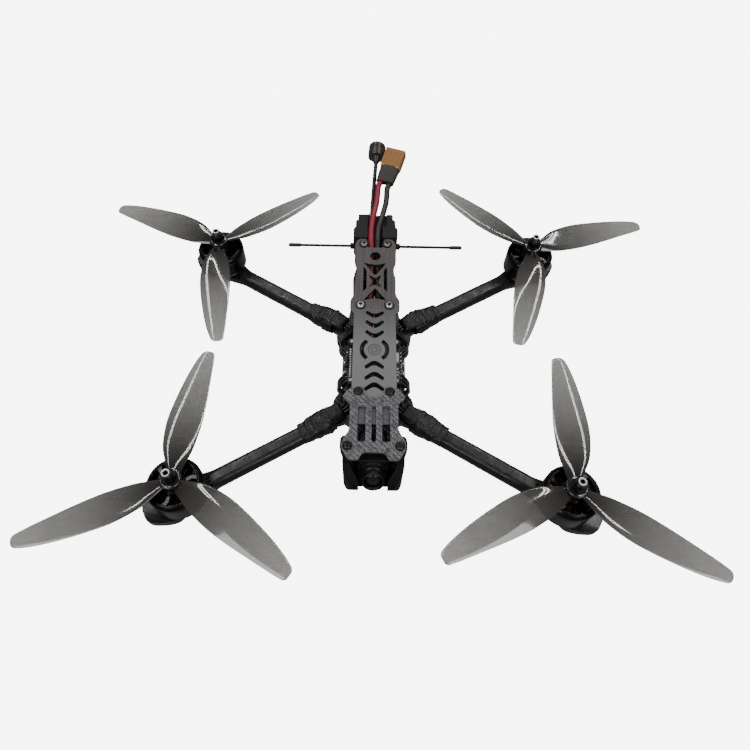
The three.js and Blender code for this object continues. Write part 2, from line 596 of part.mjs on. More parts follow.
const leadRoutes = {
  red: [
    [-2.6, 19.5, 16.8], [-2.6, 28, 18.6], [-2.5, 38, 21.6], [-2.5, 50, 24.2], [-2.6, 62, 25.8], [-2.8, 73, 27.4],
    [-3, 81, 29.6], [-3.1, 86.5, 32], [-3.2, 91.5, 35.2], [-3.3, 97, 37.2], [-3.1, 105, 37.5],
    [-2.3, 114, 37.8], [-0.9, 122, 38.5], [0.7, 131, 40.1],
    cableEntry(-1, SHEATH_LENGTH + 5), cableEntry(-1, SHEATH_LENGTH + RUNNING_GAP),
  ],
  black: [
    [2.4, 19.5, 16.8], [2.4, 28, 18.6], [2.4, 38, 21.6], [2.3, 50, 24.2], [2.2, 62, 25.8], [2, 73, 27.4],
    [1.8, 81, 29.6], [1.7, 86.5, 32], [1.6, 91.5, 35.2], [1.6, 97, 37.2], [2.1, 105, 37.5],
    [4, 114, 37.8], [6, 122, 38.5], [7.9, 131, 40.3],
    cableEntry(1, SHEATH_LENGTH + 5), cableEntry(1, SHEATH_LENGTH + RUNNING_GAP),
  ],
};

// A rounded block along the plug's axis, between two distances from the seam.
function plugBlock(from, to, halfWide, halfTall, halfWideFar = halfWide, halfTallFar = halfTall) {
  const upward = plugAcross.clone().cross(plugFacing);
  const ring = (distance, wide, tall) => [[1, 0.6], [0.85, 1], [-0.85, 1], [-1, 0.6], [-1, -0.6], [-0.85, -1],
    [0.85, -1], [1, -0.6]].map(([a, b]) => PLUG_SEAM.clone().addScaledVector(plugFacing, distance)
    .addScaledVector(plugAcross, a * wide).addScaledVector(upward, b * tall));
  return loft([ring(from, halfWide, halfTall), ring(to, halfWideFar, halfTallFar)]);
}

// ---------------------------------------------------------------- assembly

const group = new THREE.Group();

piece('belly_plate', bellyPlate(), materials.carbon, group);
piece('main_deck', mainDeck(), materials.carbon, group);
piece('roof_plate', roof(), materials.roof, group);
piece('front_plate', frontPlate(), materials.frontPlate, group);
piece('camera_cheek_left', cheek(1), materials.plastic, group);
piece('camera_cheek_right', cheek(-1), materials.plastic, group);

const posts = [['front', FRONT_POST], ['middle', MIDDLE_POST], ['rear', REAR_POST]];
const sides = [['left', 1], ['right', -1]];
for (const [place, { x, y }] of posts) {
  for (const [hand, side] of sides) {
    piece(`standoff_${place}_${hand}`, standoff(), materials.blackAlloy, group).position.set(side * x, y, 0);
  }
}

const screwSeats = [
  ['nose', NOSE_SCREW, FRONT_PLATE_TOP, materials.blackSteel],
  ['front', FRONT_POST, FRONT_PLATE_TOP, materials.blackSteel],
  ['middle', MIDDLE_POST, ROOF_TOP, materials.steel],
  ['rear', REAR_POST, ROOF_TOP, materials.steel],
];
for (const [place, { x, y }, z, material] of screwSeats) {
  for (const [hand, side] of sides) {
    piece(`screw_${place}_${hand}`, buttonScrew(), material, group).position.set(side * x, y, z);
  }
}

for (const corner of CORNERS) {
  const armFrame = new THREE.Group();
  armFrame.position.set(0, corner.y * ARM_ROOT_Y, 0);
  armFrame.rotation.z = Math.atan2(corner.y * Math.sin(ARM_ANGLE), corner.x * Math.cos(ARM_ANGLE));
  const arm = plate(armOutline(corner.x * corner.y), [], BELLY_TOP, ARM_TOP, 2);
  piece(`arm_${corner.name}`, arm, materials.carbon, armFrame);
  piece(`arm_wrap_${corner.name}`, armWrap(), materials.wrap, armFrame);
  group.add(armFrame);
  piece(`motor_wires_${corner.name}`, phaseWires(corner), materials.wire, group);

  const motor = new THREE.Group();
  motor.position.set(corner.x * MOTOR_X, corner.y * MOTOR_Y, 0);
  piece(`motor_stator_${corner.name}`, motorStator(), materials.stator, motor);
  piece(`motor_bell_${corner.name}`, motorBell(), materials.bell, motor);
  const turning = piece(`propeller_${corner.name}`, propeller(corner.spin), materials.propeller, motor);
  turning.rotation.z = THREE.MathUtils.degToRad(corner.rest);
  piece(`prop_nut_${corner.name}`, propNut(), materials.blackAlloy, motor);
  group.add(motor);
}

piece('speed_controller', speedController(), materials.board, group);
piece('flight_controller', flightController(), materials.board, group);
piece('video_transmitter', videoTransmitter(), materials.blackAlloy, group);

const cameraFrame = new THREE.Group();
cameraFrame.position.set(0, CAMERA.y, CAMERA.z);
cameraFrame.rotation.x = -CAMERA.tilt;
piece('camera_body', cameraBody(), materials.plastic, cameraFrame);
piece('camera_lens', cameraLens(), materials.glass, cameraFrame);
group.add(cameraFrame);

piece('rear_mount', rearMount(), materials.flexible, group);
piece('receiver_antenna', receiverAntenna(), materials.plastic, group);
piece('video_antenna', videoAntenna(), materials.plastic, group);

const leadSteps = 18;
piece('battery_lead_red', wire(leadRoutes.red, LEAD_RADIUS, 8, leadSteps), materials.redLead, group);
piece('battery_lead_black', wire(leadRoutes.black, LEAD_RADIUS, 8, leadSteps), materials.blackLead, group);
piece('battery_plug', plugBlock(0, PLUG_LENGTH, 8, 4.05), materials.plug, group);
piece('plug_sheath', plugBlock(-SHEATH_LENGTH, -RUNNING_GAP, 6.7, 3.4, 7.6, 3.9), materials.flexible, group);

export default group;
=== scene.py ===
"""A seven-inch freestyle quadcopter with a carbon plate frame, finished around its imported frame.

Shapes are written in millimetres and become metres as each piece is finished.
+Z is up and the nose faces -Y. Left and right are the pilot's, so left is +X.
"""

import json
import math
import random

import bmesh
import bpy
from mathutils import Matrix, Vector, noise


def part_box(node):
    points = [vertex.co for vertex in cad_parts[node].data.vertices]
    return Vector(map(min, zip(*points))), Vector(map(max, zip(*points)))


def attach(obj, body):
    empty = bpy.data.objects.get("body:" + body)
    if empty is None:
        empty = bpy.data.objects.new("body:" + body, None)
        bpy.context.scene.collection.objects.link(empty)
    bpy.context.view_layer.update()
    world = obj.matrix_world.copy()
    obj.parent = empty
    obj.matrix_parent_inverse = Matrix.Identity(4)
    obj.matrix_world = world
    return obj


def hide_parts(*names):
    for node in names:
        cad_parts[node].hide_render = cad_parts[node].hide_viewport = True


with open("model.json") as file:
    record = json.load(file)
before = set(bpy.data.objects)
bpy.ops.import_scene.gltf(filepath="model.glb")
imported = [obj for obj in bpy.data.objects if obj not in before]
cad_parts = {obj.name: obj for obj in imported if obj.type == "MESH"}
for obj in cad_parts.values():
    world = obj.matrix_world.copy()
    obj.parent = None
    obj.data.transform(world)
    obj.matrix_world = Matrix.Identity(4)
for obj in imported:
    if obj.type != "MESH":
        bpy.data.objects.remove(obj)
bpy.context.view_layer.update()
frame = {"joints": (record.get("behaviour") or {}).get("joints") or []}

MM = 0.001
MERGE_DISTANCE = 1e-3
random.seed(7)

# ---------------------------------------------------------------- camera

CAMERA_PLACE = Vector((-6.4, -205.0, 348.9))
CAMERA_YAW = math.radians(-0.65)  # towards -X
CAMERA_DOWN = math.radians(58.64)
CAMERA_ROLL = math.radians(0.59)
LENS = 27.39
SENSOR = 36.0
SHIFT = (0.0187, -0.0129)


def aim_camera():
    data = bpy.data.cameras.new("view")
    data.sensor_width, data.lens = SENSOR, LENS
    data.shift_x, data.shift_y = SHIFT
    data.clip_start, data.clip_end = 0.01, 20
    turn = (Matrix.Rotation(-CAMERA_YAW, 4, "Z") @ Matrix.Rotation(math.pi / 2 - CAMERA_DOWN, 4, "X")
            @ Matrix.Rotation(CAMERA_ROLL, 4, "Z"))
    camera = bpy.data.objects.new("view", data)
    camera.matrix_world = Matrix.Translation(CAMERA_PLACE * MM) @ turn
    bpy.context.scene.collection.objects.link(camera)
    bpy.context.scene.camera = camera


aim_camera()

# ---------------------------------------------------------------- places taken from the frame


def low(node):
    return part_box(node)[0] / MM


def high(node):
    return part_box(node)[1] / MM


def middle(node):
    return (low(node) + high(node)) / 2


def pivot(joint):
    return Vector(next(j["pos_m"] for j in frame["joints"] if j["name"] == joint)) / MM


BELLY_TOP = high("belly_plate").z
ARM_TOP = high("arm_front_left").z
DECK_TOP = high("main_deck").z
ROOF_BOTTOM = low("roof_plate").z
ROOF_TOP = high("roof_plate").z
NOSE_TOP = high("front_plate").z
FRONT_POST = middle("standoff_front_left")
MIDDLE_POST = middle("standoff_middle_left")
REAR_POST = middle("standoff_rear_left")
NOSE_BOLT = middle("screw_nose_left")
MOTOR = pivot("motor_spin_rear_left")
TILT_AXIS = pivot("camera_tilt")
TILT_REST = math.radians(25)
STACK_Y = middle("speed_controller").y
ESC_TOP = 15.0
FLIGHT_TOP = 21.5
STACK_PITCH = 30.5
BOARD = 1.5  # thickness of both boards

ARM_ROOT_Y = 22.0
ARM_ANGLE = math.atan2(MOTOR.y - ARM_ROOT_Y, MOTOR.x)
ARM_LENGTH = math.hypot(MOTOR.x, MOTOR.y - ARM_ROOT_Y)

# Each corner: its sides in X and Y, which way its propeller turns, and where the blades rest.
CORNERS = {
    "front_right": (-1, -1, 1, 84.8),
    "front_left": (1, -1, -1, 87.6),
    "rear_right": (-1, 1, -1, 37.6),
    "rear_left": (1, 1, 1, 16.6),
}
SIDES = {"left": 1, "right": -1}

# ---------------------------------------------------------------- shapes

# A shape is its points, in millimetres, and its faces.


def smooth(points, per_span=6):
    """A smooth run of points through the given ones."""
    points = [Vector(p) for p in points]
    ends = [2 * points[0] - points[1], *points, 2 * points[-1] - points[-2]]
    run = []
    for a, b, c, d in zip(ends, ends[1:], ends[2:], ends[3:]):
        for step in range(per_span):
            t = step / per_span
            run.append(0.5 * (2 * b + (c - a) * t + (2 * a - 5 * b + 4 * c - d) * t * t
                              + (3 * b - a - 3 * c + d) * t ** 3))
    return [*run, points[-1]]


def rounded(corners, usual=0.0, steps=6):
    """A closed outline through corners (x, y, radius), each rounded by its radius."""
    points = []
    for i, corner in enumerate(corners):
        here, before = Vector(corner[:2]), Vector(corners[i - 1][:2])
        after = Vector(corners[(i + 1) % len(corners)][:2])
        radius = corner[2] if len(corner) > 2 else usual
        if radius <= 0:
            points.append(here)
            continue
        reach = [min(radius, 0.45 * (other - here).length) for other in (before, after)]
        start = here + (before - here).normalized() * reach[0]
        end = here + (after - here).normalized() * reach[1]
        for step in range(steps + 1):
            t = step / steps
            points.append(start * (1 - t) ** 2 + here * (2 * t * (1 - t)) + end * t * t)
    return points


def both_sides(half):
    """The whole outline of a symmetrical plate, from its +X half, front to rear."""
    return half + [(-x, y, r) for x, y, r in reversed(half)]


def circle(x, y, radius, sides=32):
    return [Vector((x + radius * math.cos(2 * math.pi * i / sides),
                    y + radius * math.sin(2 * math.pi * i / sides)))
            for i in range(sides)]


def polar(radius, angle):
    return radius * math.cos(angle), radius * math.sin(angle)


def arc_band(outer, inner, degrees):
    """A curved band about Z between two radii, through the given angles."""
    return [Vector(polar(outer, math.radians(a))) for a in degrees] + [
        Vector(polar(inner, math.radians(a))) for a in reversed(degrees)]


def oblong(half, front, back, radius, x=0.0):
    """A rounded rectangle from front to back, reaching a half width to each side of x."""
    return rounded([(x - half, front), (x + half, front), (x + half, back), (x - half, back)], radius)


def pair(place, radius):
    return [circle(place.x, place.y, radius), circle(-place.x, place.y, radius)]


def plate(outline, bottom, top, holes=(), edge=0.18):
    """A flat plate with its edges eased."""
    curve = bpy.data.curves.new("outline", "CURVE")
    curve.dimensions, curve.fill_mode = "2D", "BOTH"
    curve.extrude, curve.bevel_depth, curve.offset = (top - bottom) / 2 - edge, edge, -edge
    curve.bevel_resolution = 1
    for loop in [outline, *holes]:
        spline = curve.splines.new("POLY")
        spline.use_cyclic_u = True
        spline.points.add(len(loop) - 1)
        for point, (x, y) in zip(spline.points, loop):
            point.co = (x, y, 0, 1)
    holder = bpy.data.objects.new("outline", curve)
    bpy.context.scene.collection.objects.link(holder)
    shape = evaluated(holder)
    bpy.data.objects.remove(holder)
    bpy.data.curves.remove(curve)
    lift = Vector((0, 0, (bottom + top) / 2))
    return [p + lift for p in shape[0]], shape[1]


def evaluated(holder):
    """The points and faces of an object with its modifiers, merged where they meet."""
    bpy.context.view_layer.update()
    mesh = bpy.data.meshes.new_from_object(holder.evaluated_get(bpy.context.evaluated_depsgraph_get()))
    work = bmesh.new()
    work.from_mesh(mesh)
    bmesh.ops.remove_doubles(work, verts=work.verts, dist=MERGE_DISTANCE)
    work.verts.index_update()
    shape = [v.co.copy() for v in work.verts], [tuple(v.index for v in f.verts) for f in work.faces]
    work.free()
    bpy.data.meshes.remove(mesh)
    return shape


def turned(profile, segments=48):
    """A profile of (radius, height) turned about Z. It closes on itself unless it ends on the axis."""
    rows, points, faces = [], [], []
    for r, z in profile:
        count = 1 if r == 0 else segments
        rows.append(range(len(points), len(points) + count))
        points += [Vector((*polar(r, 2 * math.pi * i / segments), z)) for i in range(count)]
    pairs = list(zip(rows, rows[1:]))
    if profile[0][0] > 0 and profile[-1][0] > 0:
        pairs.append((rows[-1], rows[0]))
    for a, b in pairs:
        for i in range(segments):
            j = (i + 1) % segments
            face = [a[i % len(a)], a[j % len(a)], b[j % len(b)], b[i % len(b)]]
            faces.append(tuple(dict.fromkeys(face)))
    return points, [f for f in faces if len(f) > 2]


def loft(rings, closed=False):
    """A skin through rings of points, with its ends capped or joined to each other."""
    sides = len(rings[0])
    points = [Vector(p) for ring in rings for p in ring]
    spans = list(range(len(rings) - 1)) + ([len(rings) - 1] if closed else [])
    faces = []
    for span in spans:
        a, b = span * sides, ((span + 1) % len(rings)) * sides
        faces += [(a + i, a + (i + 1) % sides, b + (i + 1) % sides, b + i) for i in range(sides)]
    if not closed:
        faces += [tuple(range(sides)), tuple(range(len(points) - sides, len(points)))]
    return points, faces


def swept(path, radius, sides=12, closed=False):
    """A round tube along a run of points. The radius may be a function of the share of its length."""
    path = [Vector(p) for p in path]
    side, rings = None, []
    for i, point in enumerate(path):
        before = path[i - 1] if i or closed else point
        after = path[(i + 1) % len(path)] if i + 1 < len(path) or closed else point
        along = (after - before).normalized()
        if side is None:
            side = along.orthogonal().normalized()
        side = (side - along * side.dot(along)).normalized()
        other = along.cross(side)
        share = i / (len(path) - 1)
        size = radius(share) if callable(radius) else radius
        rings.append([point + size * (math.cos(2 * math.pi * k / sides) * side
                                      + math.sin(2 * math.pi * k / sides) * other)
                      for k in range(sides)])
    return loft(rings, closed)


def rod(radius, start, end, sides=24, edge=0.2):
    """A straight rod with eased ends between two points."""
    start, end = Vector(start), Vector(end)
    long = (end - start).length
    shape = turned([(0, 0), (radius - edge, 0), (radius, edge), (radius, long - edge),
                    (radius - edge, long), (0, long)], sides)
    return moved(shape, Matrix.Translation(start)
                 @ (end - start).to_track_quat("Z", "Y").to_matrix().to_4x4())


def hull(points):
    work = bmesh.new()
    verts = [work.verts.new(p) for p in points]
    bmesh.ops.convex_hull(work, input=verts)
    bmesh.ops.dissolve_limit(work, angle_limit=0.01, verts=work.verts, edges=work.edges)
    work.verts.index_update()
    shape = [v.co.copy() for v in work.verts], [tuple(v.index for v in f.verts) for f in work.faces]
    work.free()
    return shape


SIGNS = [(x, y, z) for x in (-1, 1) for y in (-1, 1) for z in (-1, 1)]
ROUND_EDGE = [(1, 0, 0), (0, 1, 0), (0, 0, 1), (0.71, 0.71, 0), (0.71, 0, 0.71), (0, 0.71, 0.71),
              (0.58, 0.58, 0.58)]


def block(start, end, edge=0.25):
    """A box with rounded edges between two opposite corners."""
    start, end = Vector(start), Vector(end)
    centre, half = (start + end) / 2, (end - start) / 2
    edge = min(edge, 0.45 * min(half))
    points = []
    for signs in SIGNS:
        corner = Vector(s * (h - edge) for s, h in zip(signs, half))
        points += [centre + corner + edge * Vector(s * r for s, r in zip(signs, out))
                   for out in ROUND_EDGE]
    return hull(points)


def prism(radius, bottom, top, sides=6, edge=0.35):
    """A nut-like prism: its corners are rounded off at both ends."""
    rings = []
    for z, inset in ((bottom, edge), (bottom + 0.5 * edge, 0), (top - 0.5 * edge, 0), (top, edge)):
        rings.append([(*polar(min(polygon_radius(a, radius, sides), radius - inset), a), z)
                      for a in (2 * math.pi * i / 48 for i in range(48))])
    return loft(rings)


def polygon_radius(angle, radius, sides):
    """How far a regular polygon with that corner radius reaches in one direction."""
    half = math.pi / sides
    return radius * math.cos(half) / math.cos((angle % (2 * half)) - half)


def moved(shape, matrix):
    return [matrix @ Vector(p) for p in shape[0]], shape[1]


def turned_to(x, y, z, angle=0.0):
    """A place in the plane, turned about Z by an angle in degrees."""
    return Matrix.Translation((x, y, z)) @ Matrix.Rotation(math.radians(angle), 4, "Z")


def solid(joined, cuts=(), common=()):
    """Shapes joined into one, kept only within the common ones, less the cuts."""
    def holder(shape):
        mesh = bpy.data.meshes.new("work")
        mesh.from_pydata([tuple(p) for p in shape[0]], [], shape[1])
        work = bmesh.new()
        work.from_mesh(mesh)
        bmesh.ops.recalc_face_normals(work, faces=work.faces)
        work.to_mesh(mesh)
        work.free()
        made = bpy.data.objects.new("work", mesh)
        bpy.context.scene.collection.objects.link(made)
        return made

    base, tools = holder(joined[0]), []
    for operation, shapes in (("UNION", joined[1:]), ("INTERSECT", common), ("DIFFERENCE", cuts)):
        for shape in shapes:
            tools.append(holder(shape))
            step = base.modifiers.new("step", "BOOLEAN")
            step.operation, step.object, step.solver = operation, tools[-1], "EXACT"
    shape = evaluated(base)
    for made in (base, *tools):
        mesh = made.data
        bpy.data.objects.remove(made)
        bpy.data.meshes.remove(mesh)
    return shape


class Piece:
    """One visible piece: shapes gathered in one mesh, each with its own look."""

    def __init__(self, name, slot, body="airframe", stands_for=(), place=None):
        self.name, self.slot, self.body, self.stands_for = name, slot, body, stands_for
        self.place = place or Matrix()
        self.work = bmesh.new()
        self.looks = []

    def add(self, shape, look, at=None):
        points, faces = moved(shape, at) if at else shape
        verts = [self.work.verts.new(p) for p in points]
        if look not in self.looks:
            self.looks.append(look)
        seen = set()
        for face in faces:
            if len(set(face)) < 3 or frozenset(face) in seen:
                continue
            seen.add(frozenset(face))
            made = self.work.faces.new([verts[i] for i in face])
            made.material_index = self.looks.index(look)
        return self

    def finish(self, sharp=38):
        bmesh.ops.recalc_face_normals(self.work, faces=self.work.faces)
        mesh = bpy.data.meshes.new(self.name)
        self.work.to_mesh(mesh)
        self.work.free()
        mesh.transform(Matrix.Scale(MM, 4))
        for look in self.looks:
            mesh.materials.append(look)
        mesh.shade_smooth()
        mesh.set_sharp_from_angle(angle=math.radians(sharp))
        made = bpy.data.objects.new(self.name, mesh)
        made.matrix_world = Matrix.Translation(self.place.translation
                                               * MM) @ self.place.to_3x3().to_4x4()
        bpy.context.scene.collection.objects.link(made)
        made.modifiers.new("even_shading", "WEIGHTED_NORMAL").keep_sharp = True
        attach(made, self.body)
        if self.stands_for:
            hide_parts(*self.stands_for)
        return made


# ---------------------------------------------------------------- looks


class Look:
    """A Principled material, with short ways to feed its sockets from procedural nodes."""

    def __init__(self, name, colour, roughness, metallic=0.0, **fixed):
        self.material = bpy.data.materials.new(name)
        self.material.use_nodes = True
        self.tree = self.material.node_tree
        self.shader = self.tree.nodes["Principled BSDF"]
        self.colour, self.rough = (*colour, 1.0), roughness
        self.set("Base Color", self.colour)
        self.set("Roughness", roughness)
        self.set("Metallic", metallic)
        for key, value in fixed.items():
            self.set(key.replace("_", " ").title().replace("Ior", "IOR"), value)

    def set(self, socket, value):
        self.feed(self.shader.inputs[socket], value)

    def feed(self, socket, value):
        if isinstance(value, bpy.types.NodeSocket):
            self.tree.links.new(value, socket)
        else:
            socket.default_value = value

    def node(self, kind, inputs, **settings):
        made = self.tree.nodes.new("ShaderNode" + kind)
        for key, value in settings.items():
            setattr(made, key, value)
        for key, value in inputs.items():
            self.feed(made.inputs[key], value)
        return made

    def math(self, operation, a, b=0.0, c=0.0):
        return self.node("Math", {0: a, 1: b, 2: c}, operation=operation).outputs[0]

    def where(self, x=1.0, y=1.0, z=1.0):
        """The place on the piece in millimetres, scaled along each axis."""
        spot = self.node("TexCoord", {}).outputs["Object"]
        return self.node("VectorMath", {0: spot, 1: (x / MM, y / MM, z / MM)},
                         operation="MULTIPLY").outputs[0]

    def axes(self, vector):
        return self.node("SeparateXYZ", {0: vector}).outputs

    def facing(self):
        """How much a surface faces up or down, from 0 to 1."""
        geometry = self.node("NewGeometry", {})
        return self.math("ABSOLUTE", self.axes(geometry.outputs["True Normal"])[2])

    def spots(self, size, detail=2.0, stretch=(1, 1, 1)):
        """Soft noise from 0 to 1, with features of about that size in millimetres."""
        spot = self.where(*(1 / (size * s) for s in stretch))
        return self.node("TexNoise", {"Vector": spot, "Scale": 1.0, "Detail": detail}).outputs[0]

    def span(self, value, low, high, to_low=0.0, to_high=1.0):
        return self.node("MapRange", {0: value, 1: low, 2: high, 3: to_low, 4: to_high},
                         clamp=True).outputs[0]

    def blend(self, share, a, b):
        """Colour a where share is 0 and b where it is 1."""
        made = self.node("Mix", {0: share}, data_type="RGBA")
        for socket, value in ((made.inputs[6], a), (made.inputs[7], b)):
            self.feed(socket, (*value, 1.0) if isinstance(value, tuple) and len(value) == 3 else value)
        return made.outputs[2]

    def bump(self, height, distance, strength=1.0):
        """Raises the surface by a height from 0 to 1, times a distance in millimetres."""
        inputs = {"Height": height, "Distance": distance * MM, "Strength": strength}
        self.set("Normal", self.node("Bump", inputs).outputs[0])
        return self


def grained(name, colour, roughness, metallic=0.0, size=0.4, vary=0.25, spread=0.12, relief=0.01,
            **fixed):
    """A finish with fine grain, faint larger blotches and a soft bump."""
    look = Look(name, colour, roughness, metallic, **fixed)
    fine, broad = look.spots(size, 3.0), look.spots(size * 14, 2.0)
    mixed = look.math("ADD", look.math("MULTIPLY", fine, 0.5), look.math("MULTIPLY", broad, 0.5))
    darker = tuple(c * (1 - vary) for c in colour)
    lighter = tuple(min(1.0, c * (1 + vary)) for c in colour)
    look.set("Base Color", look.blend(look.span(mixed, 0.3, 0.7), darker, lighter))
    look.set("Roughness", look.span(broad, 0.25, 0.75, roughness - spread, roughness + spread))
    look.bump(fine, relief)
    return look


def woven(name, warp, weft, roughness, tow=1.0, relief=0.03, edge=(0.035, 0.035, 0.036), speckle=0.0,
          **fixed):
    """Two-by-two twill carbon plate, with its layers showing at cut edges. The warp and weft tones and
    each tow's lighter crown are a painted sheen.
    """
    look = Look(name, warp, roughness, **fixed)
    x, y, z = look.axes(look.where(1 / tow, 1 / tow, 1 / tow))[:3]
    step = look.math("ADD", look.math("FLOOR", x), look.math("FLOOR", y))
    over = look.math("LESS_THAN", look.math("FLOORED_MODULO", step, 4.0), 2.0)
    crown_x = look.math("SINE", look.math("MULTIPLY", look.math("FRACT", x), math.pi))
    crown_y = look.math("SINE", look.math("MULTIPLY", look.math("FRACT", y), math.pi))
    crown = look.node("Mix", {0: over, 2: crown_y, 3: crown_x}, data_type="FLOAT").outputs[0]
    fibre = look.node("Mix", {0: over, 2: look.spots(0.5, 2.0, (8, 0.3, 1)),
                              3: look.spots(0.5, 2.0, (0.3, 8, 1))},
                      data_type="FLOAT").outputs[0]
    # Each tow is painted lighter along its crown and darker at its sides: a painted highlight.
    shade = look.math("MULTIPLY", look.math("ADD", fibre, 0.5), look.span(crown, 0.0, 0.6, 0.55, 1.0))
    # Warp and weft are one fibre in two tones, painted lighter and darker for their sheen.
    cloth = look.blend(over, weft, warp)
    dark = look.blend(shade, (0.004, 0.004, 0.004), cloth)
    if speckle:
        grit = look.span(look.spots(0.45, 3.0), 0.56, 0.68, 0.0, speckle)
        dark = look.blend(grit, dark, (0.62, 0.63, 0.67))
        dark = look.blend(look.span(look.spots(5.0, 3.0), 0.46, 0.66, 0.0, 0.6), dark,
                          (0.03, 0.03, 0.034))
    layers = look.math("SINE", look.math("MULTIPLY", z, 2 * math.pi * tow / 0.25))
    side = look.blend(look.span(layers, -1.0, 1.0), tuple(c * 0.45 for c in edge),
                      tuple(c * 1.5 for c in edge))
    flat = look.span(look.facing(), 0.8, 0.97)
    look.set("Base Color", look.blend(flat, side, dark))
    look.set("Roughness", look.math("ADD", look.span(look.spots(7.0), 0.3, 0.7, roughness - 0.06,
                                                     roughness + 0.08),
                                    look.span(flat, 0.0, 1.0, 0.2, 0.0)))
    look.bump(look.math("MULTIPLY", crown, flat), relief)
    return look


def roof_carbon():
    """Satin roof: lighter grey at the front with a painted sheen, darker, browner and streaked towards
    the tail, dark with a painted speckle of reflections at the nose plate.
    """
    look = Look("satin_roof", (0.2, 0.2, 0.2), 0.4, specular_ior_level=0.6)
    y, z = look.axes(look.where())[1:3]
    # The front's lighter grey is a painted sheen, which fades out towards the tail.
    tail = look.span(y, -2.0, 36.0)
    streaks = look.spots(1.1, 3.0, (0.55, 30, 1))
    grit = look.spots(0.35, 3.0)
    blotch = look.spots(16.0, 2.0)
    front = look.blend(look.span(grit, 0.3, 0.7), (0.125, 0.125, 0.131), (0.205, 0.205, 0.213))
    front = look.blend(look.span(blotch, 0.35, 0.65, 0.0, 0.35), front, (0.16, 0.16, 0.168))
    rear = look.blend(look.span(streaks, 0.35, 0.65), (0.03, 0.025, 0.0245), (0.078, 0.066, 0.064))
    top = look.blend(tail, front, rear)
    # Dark with light speckle where the roof shows through the nose plate's slots; the speckle is a
    # painted reflection.
    slot_reflection_speckle = look.blend(look.span(grit, 0.5, 0.66), (0.02, 0.02, 0.024), (0.26, 0.26, 0.28))
    top = look.blend(look.span(y, -45.0, -42.0, 1.0, 0.0), top, slot_reflection_speckle)
    layers = look.math("SINE", look.math("MULTIPLY", z, 2 * math.pi / 0.42))
    side = look.blend(look.span(layers, -1.0, 1.0), (0.005, 0.005, 0.0055), (0.02, 0.02, 0.021))
    flat = look.span(look.facing(), 0.75, 0.97)
    look.set("Base Color", look.blend(flat, side, top))
    look.set("Roughness", look.span(look.math("ADD", grit, blotch), 0.7, 1.3, 0.36, 0.5))
    look.bump(look.math("ADD", look.math("MULTIPLY", grit, 0.5), look.math("MULTIPLY", streaks, tail)),
              0.02)
    return look


def shrink_sleeve():
    """Glossy black shrink tube with faint wrinkles across the arm."""
    look = Look("shrink_sleeve", (0.012, 0.0115, 0.011), 0.32, specular_ior_level=0.5)
    wrinkles = look.spots(1.6, 3.0, (0.5, 4, 3))
    waves = look.spots(9.0, 2.0, (0.8, 2, 2))
    dusty = look.span(look.spots(3.0, 4.0), 0.45, 0.75)
    look.set("Base Color", look.blend(dusty, (0.006, 0.0057, 0.0055), (0.016, 0.015, 0.014)))
    look.set("Roughness", look.span(look.spots(5.0, 3.0), 0.3, 0.7, 0.24, 0.46))
    look.bump(look.math("ADD", look.math("MULTIPLY", wrinkles, 0.5), waves), 0.22, 0.8)
    return look


def tape():
    """Dark cloth tape: a fine weave, with dusty patches."""
    look = Look("cloth_tape", (0.015, 0.014, 0.013), 0.5, specular_ior_level=0.35)
    x, y, z = look.axes(look.where(2 * math.pi / 0.9, 2 * math.pi / 0.9, 2 * math.pi / 0.9))[:3]
    weave = look.math("MULTIPLY", look.math("SINE", x), look.math("SINE", look.math("ADD", y, z)))
    dust = look.span(look.spots(2.2, 4.0), 0.48, 0.72)
    look.set("Base Color", look.blend(dust, (0.007, 0.0067, 0.0065), (0.022, 0.02, 0.0185)))
    look.set("Roughness", look.span(look.spots(4.0, 3.0), 0.3, 0.7, 0.2, 0.5))
    look.bump(look.math("ADD", look.math("MULTIPLY", weave, 0.15), look.spots(3.0, 3.0)), 0.16)
    return look


def printed():
    """Flexible print: even layer lines about its height, and a dusty matt surface."""
    look = Look("flexible_print", (0.02, 0.0205, 0.019), 0.6, specular_ior_level=0.3)
    z = look.axes(look.where())[2]
    layers = look.math("SINE", look.math("MULTIPLY", z, 2 * math.pi / 0.55))
    dust = look.span(look.spots(2.5, 4.0), 0.42, 0.75)
    look.set("Base Color", look.blend(dust, (0.007, 0.0072, 0.006), (0.024, 0.0245, 0.020)))
    look.set("Roughness", look.span(dust, 0.0, 1.0, 0.55, 0.8))
    look.bump(look.math("ADD", layers, look.spots(0.6, 3.0)), 0.05)
    return look


def smoke():
    """Translucent smoke polycarbonate, thicker and darker towards the hub."""
    look = Look("smoke_polycarbonate", (0.03, 0.028, 0.027), 0.1, specular_ior_level=0.7,
                coat_weight=0.6,
                coat_roughness=0.03)
    x, y = look.axes(look.where())[:2]
    radius = look.math("SQRT", look.math("ADD", look.math("POWER", x, 2.0), look.math("POWER", y, 2.0)))
    cloud = look.spots(14.0, 3.0)
    swirl = look.spots(2.2, 3.0, (6, 1, 1))
    share = look.span(radius, 8.0, 86.0)
    tint = look.blend(share, (0.010, 0.0075, 0.006), (0.205, 0.197, 0.175))
    look.set("Base Color",
             look.blend(look.span(cloud, 0.35, 0.7, 0.0, 0.2), tint, (0.062, 0.055, 0.046)))
    fade = look.node("ValToRGB", {0: share})
    stops = fade.color_ramp.elements
    for place, value in ((0.0, 0.99), (1.0, 0.86)):
        stops[round(place)].position, stops[round(place)].color = place, (value, value, value, 1)
    for place, value in ((0.1, 0.975), (0.25, 0.94), (0.5, 0.9), (0.8, 0.875)):
        stops.new(place).color = (value, value, value, 1)
    veil = look.math("MULTIPLY", fade.outputs[0], look.span(swirl, 0.3, 0.7, 0.985, 1.01))
    look.set("Alpha", veil)
    look.set("Roughness", look.span(cloud, 0.3, 0.7, 0.05, 0.11))
    look.bump(cloud, 0.05)
    return look


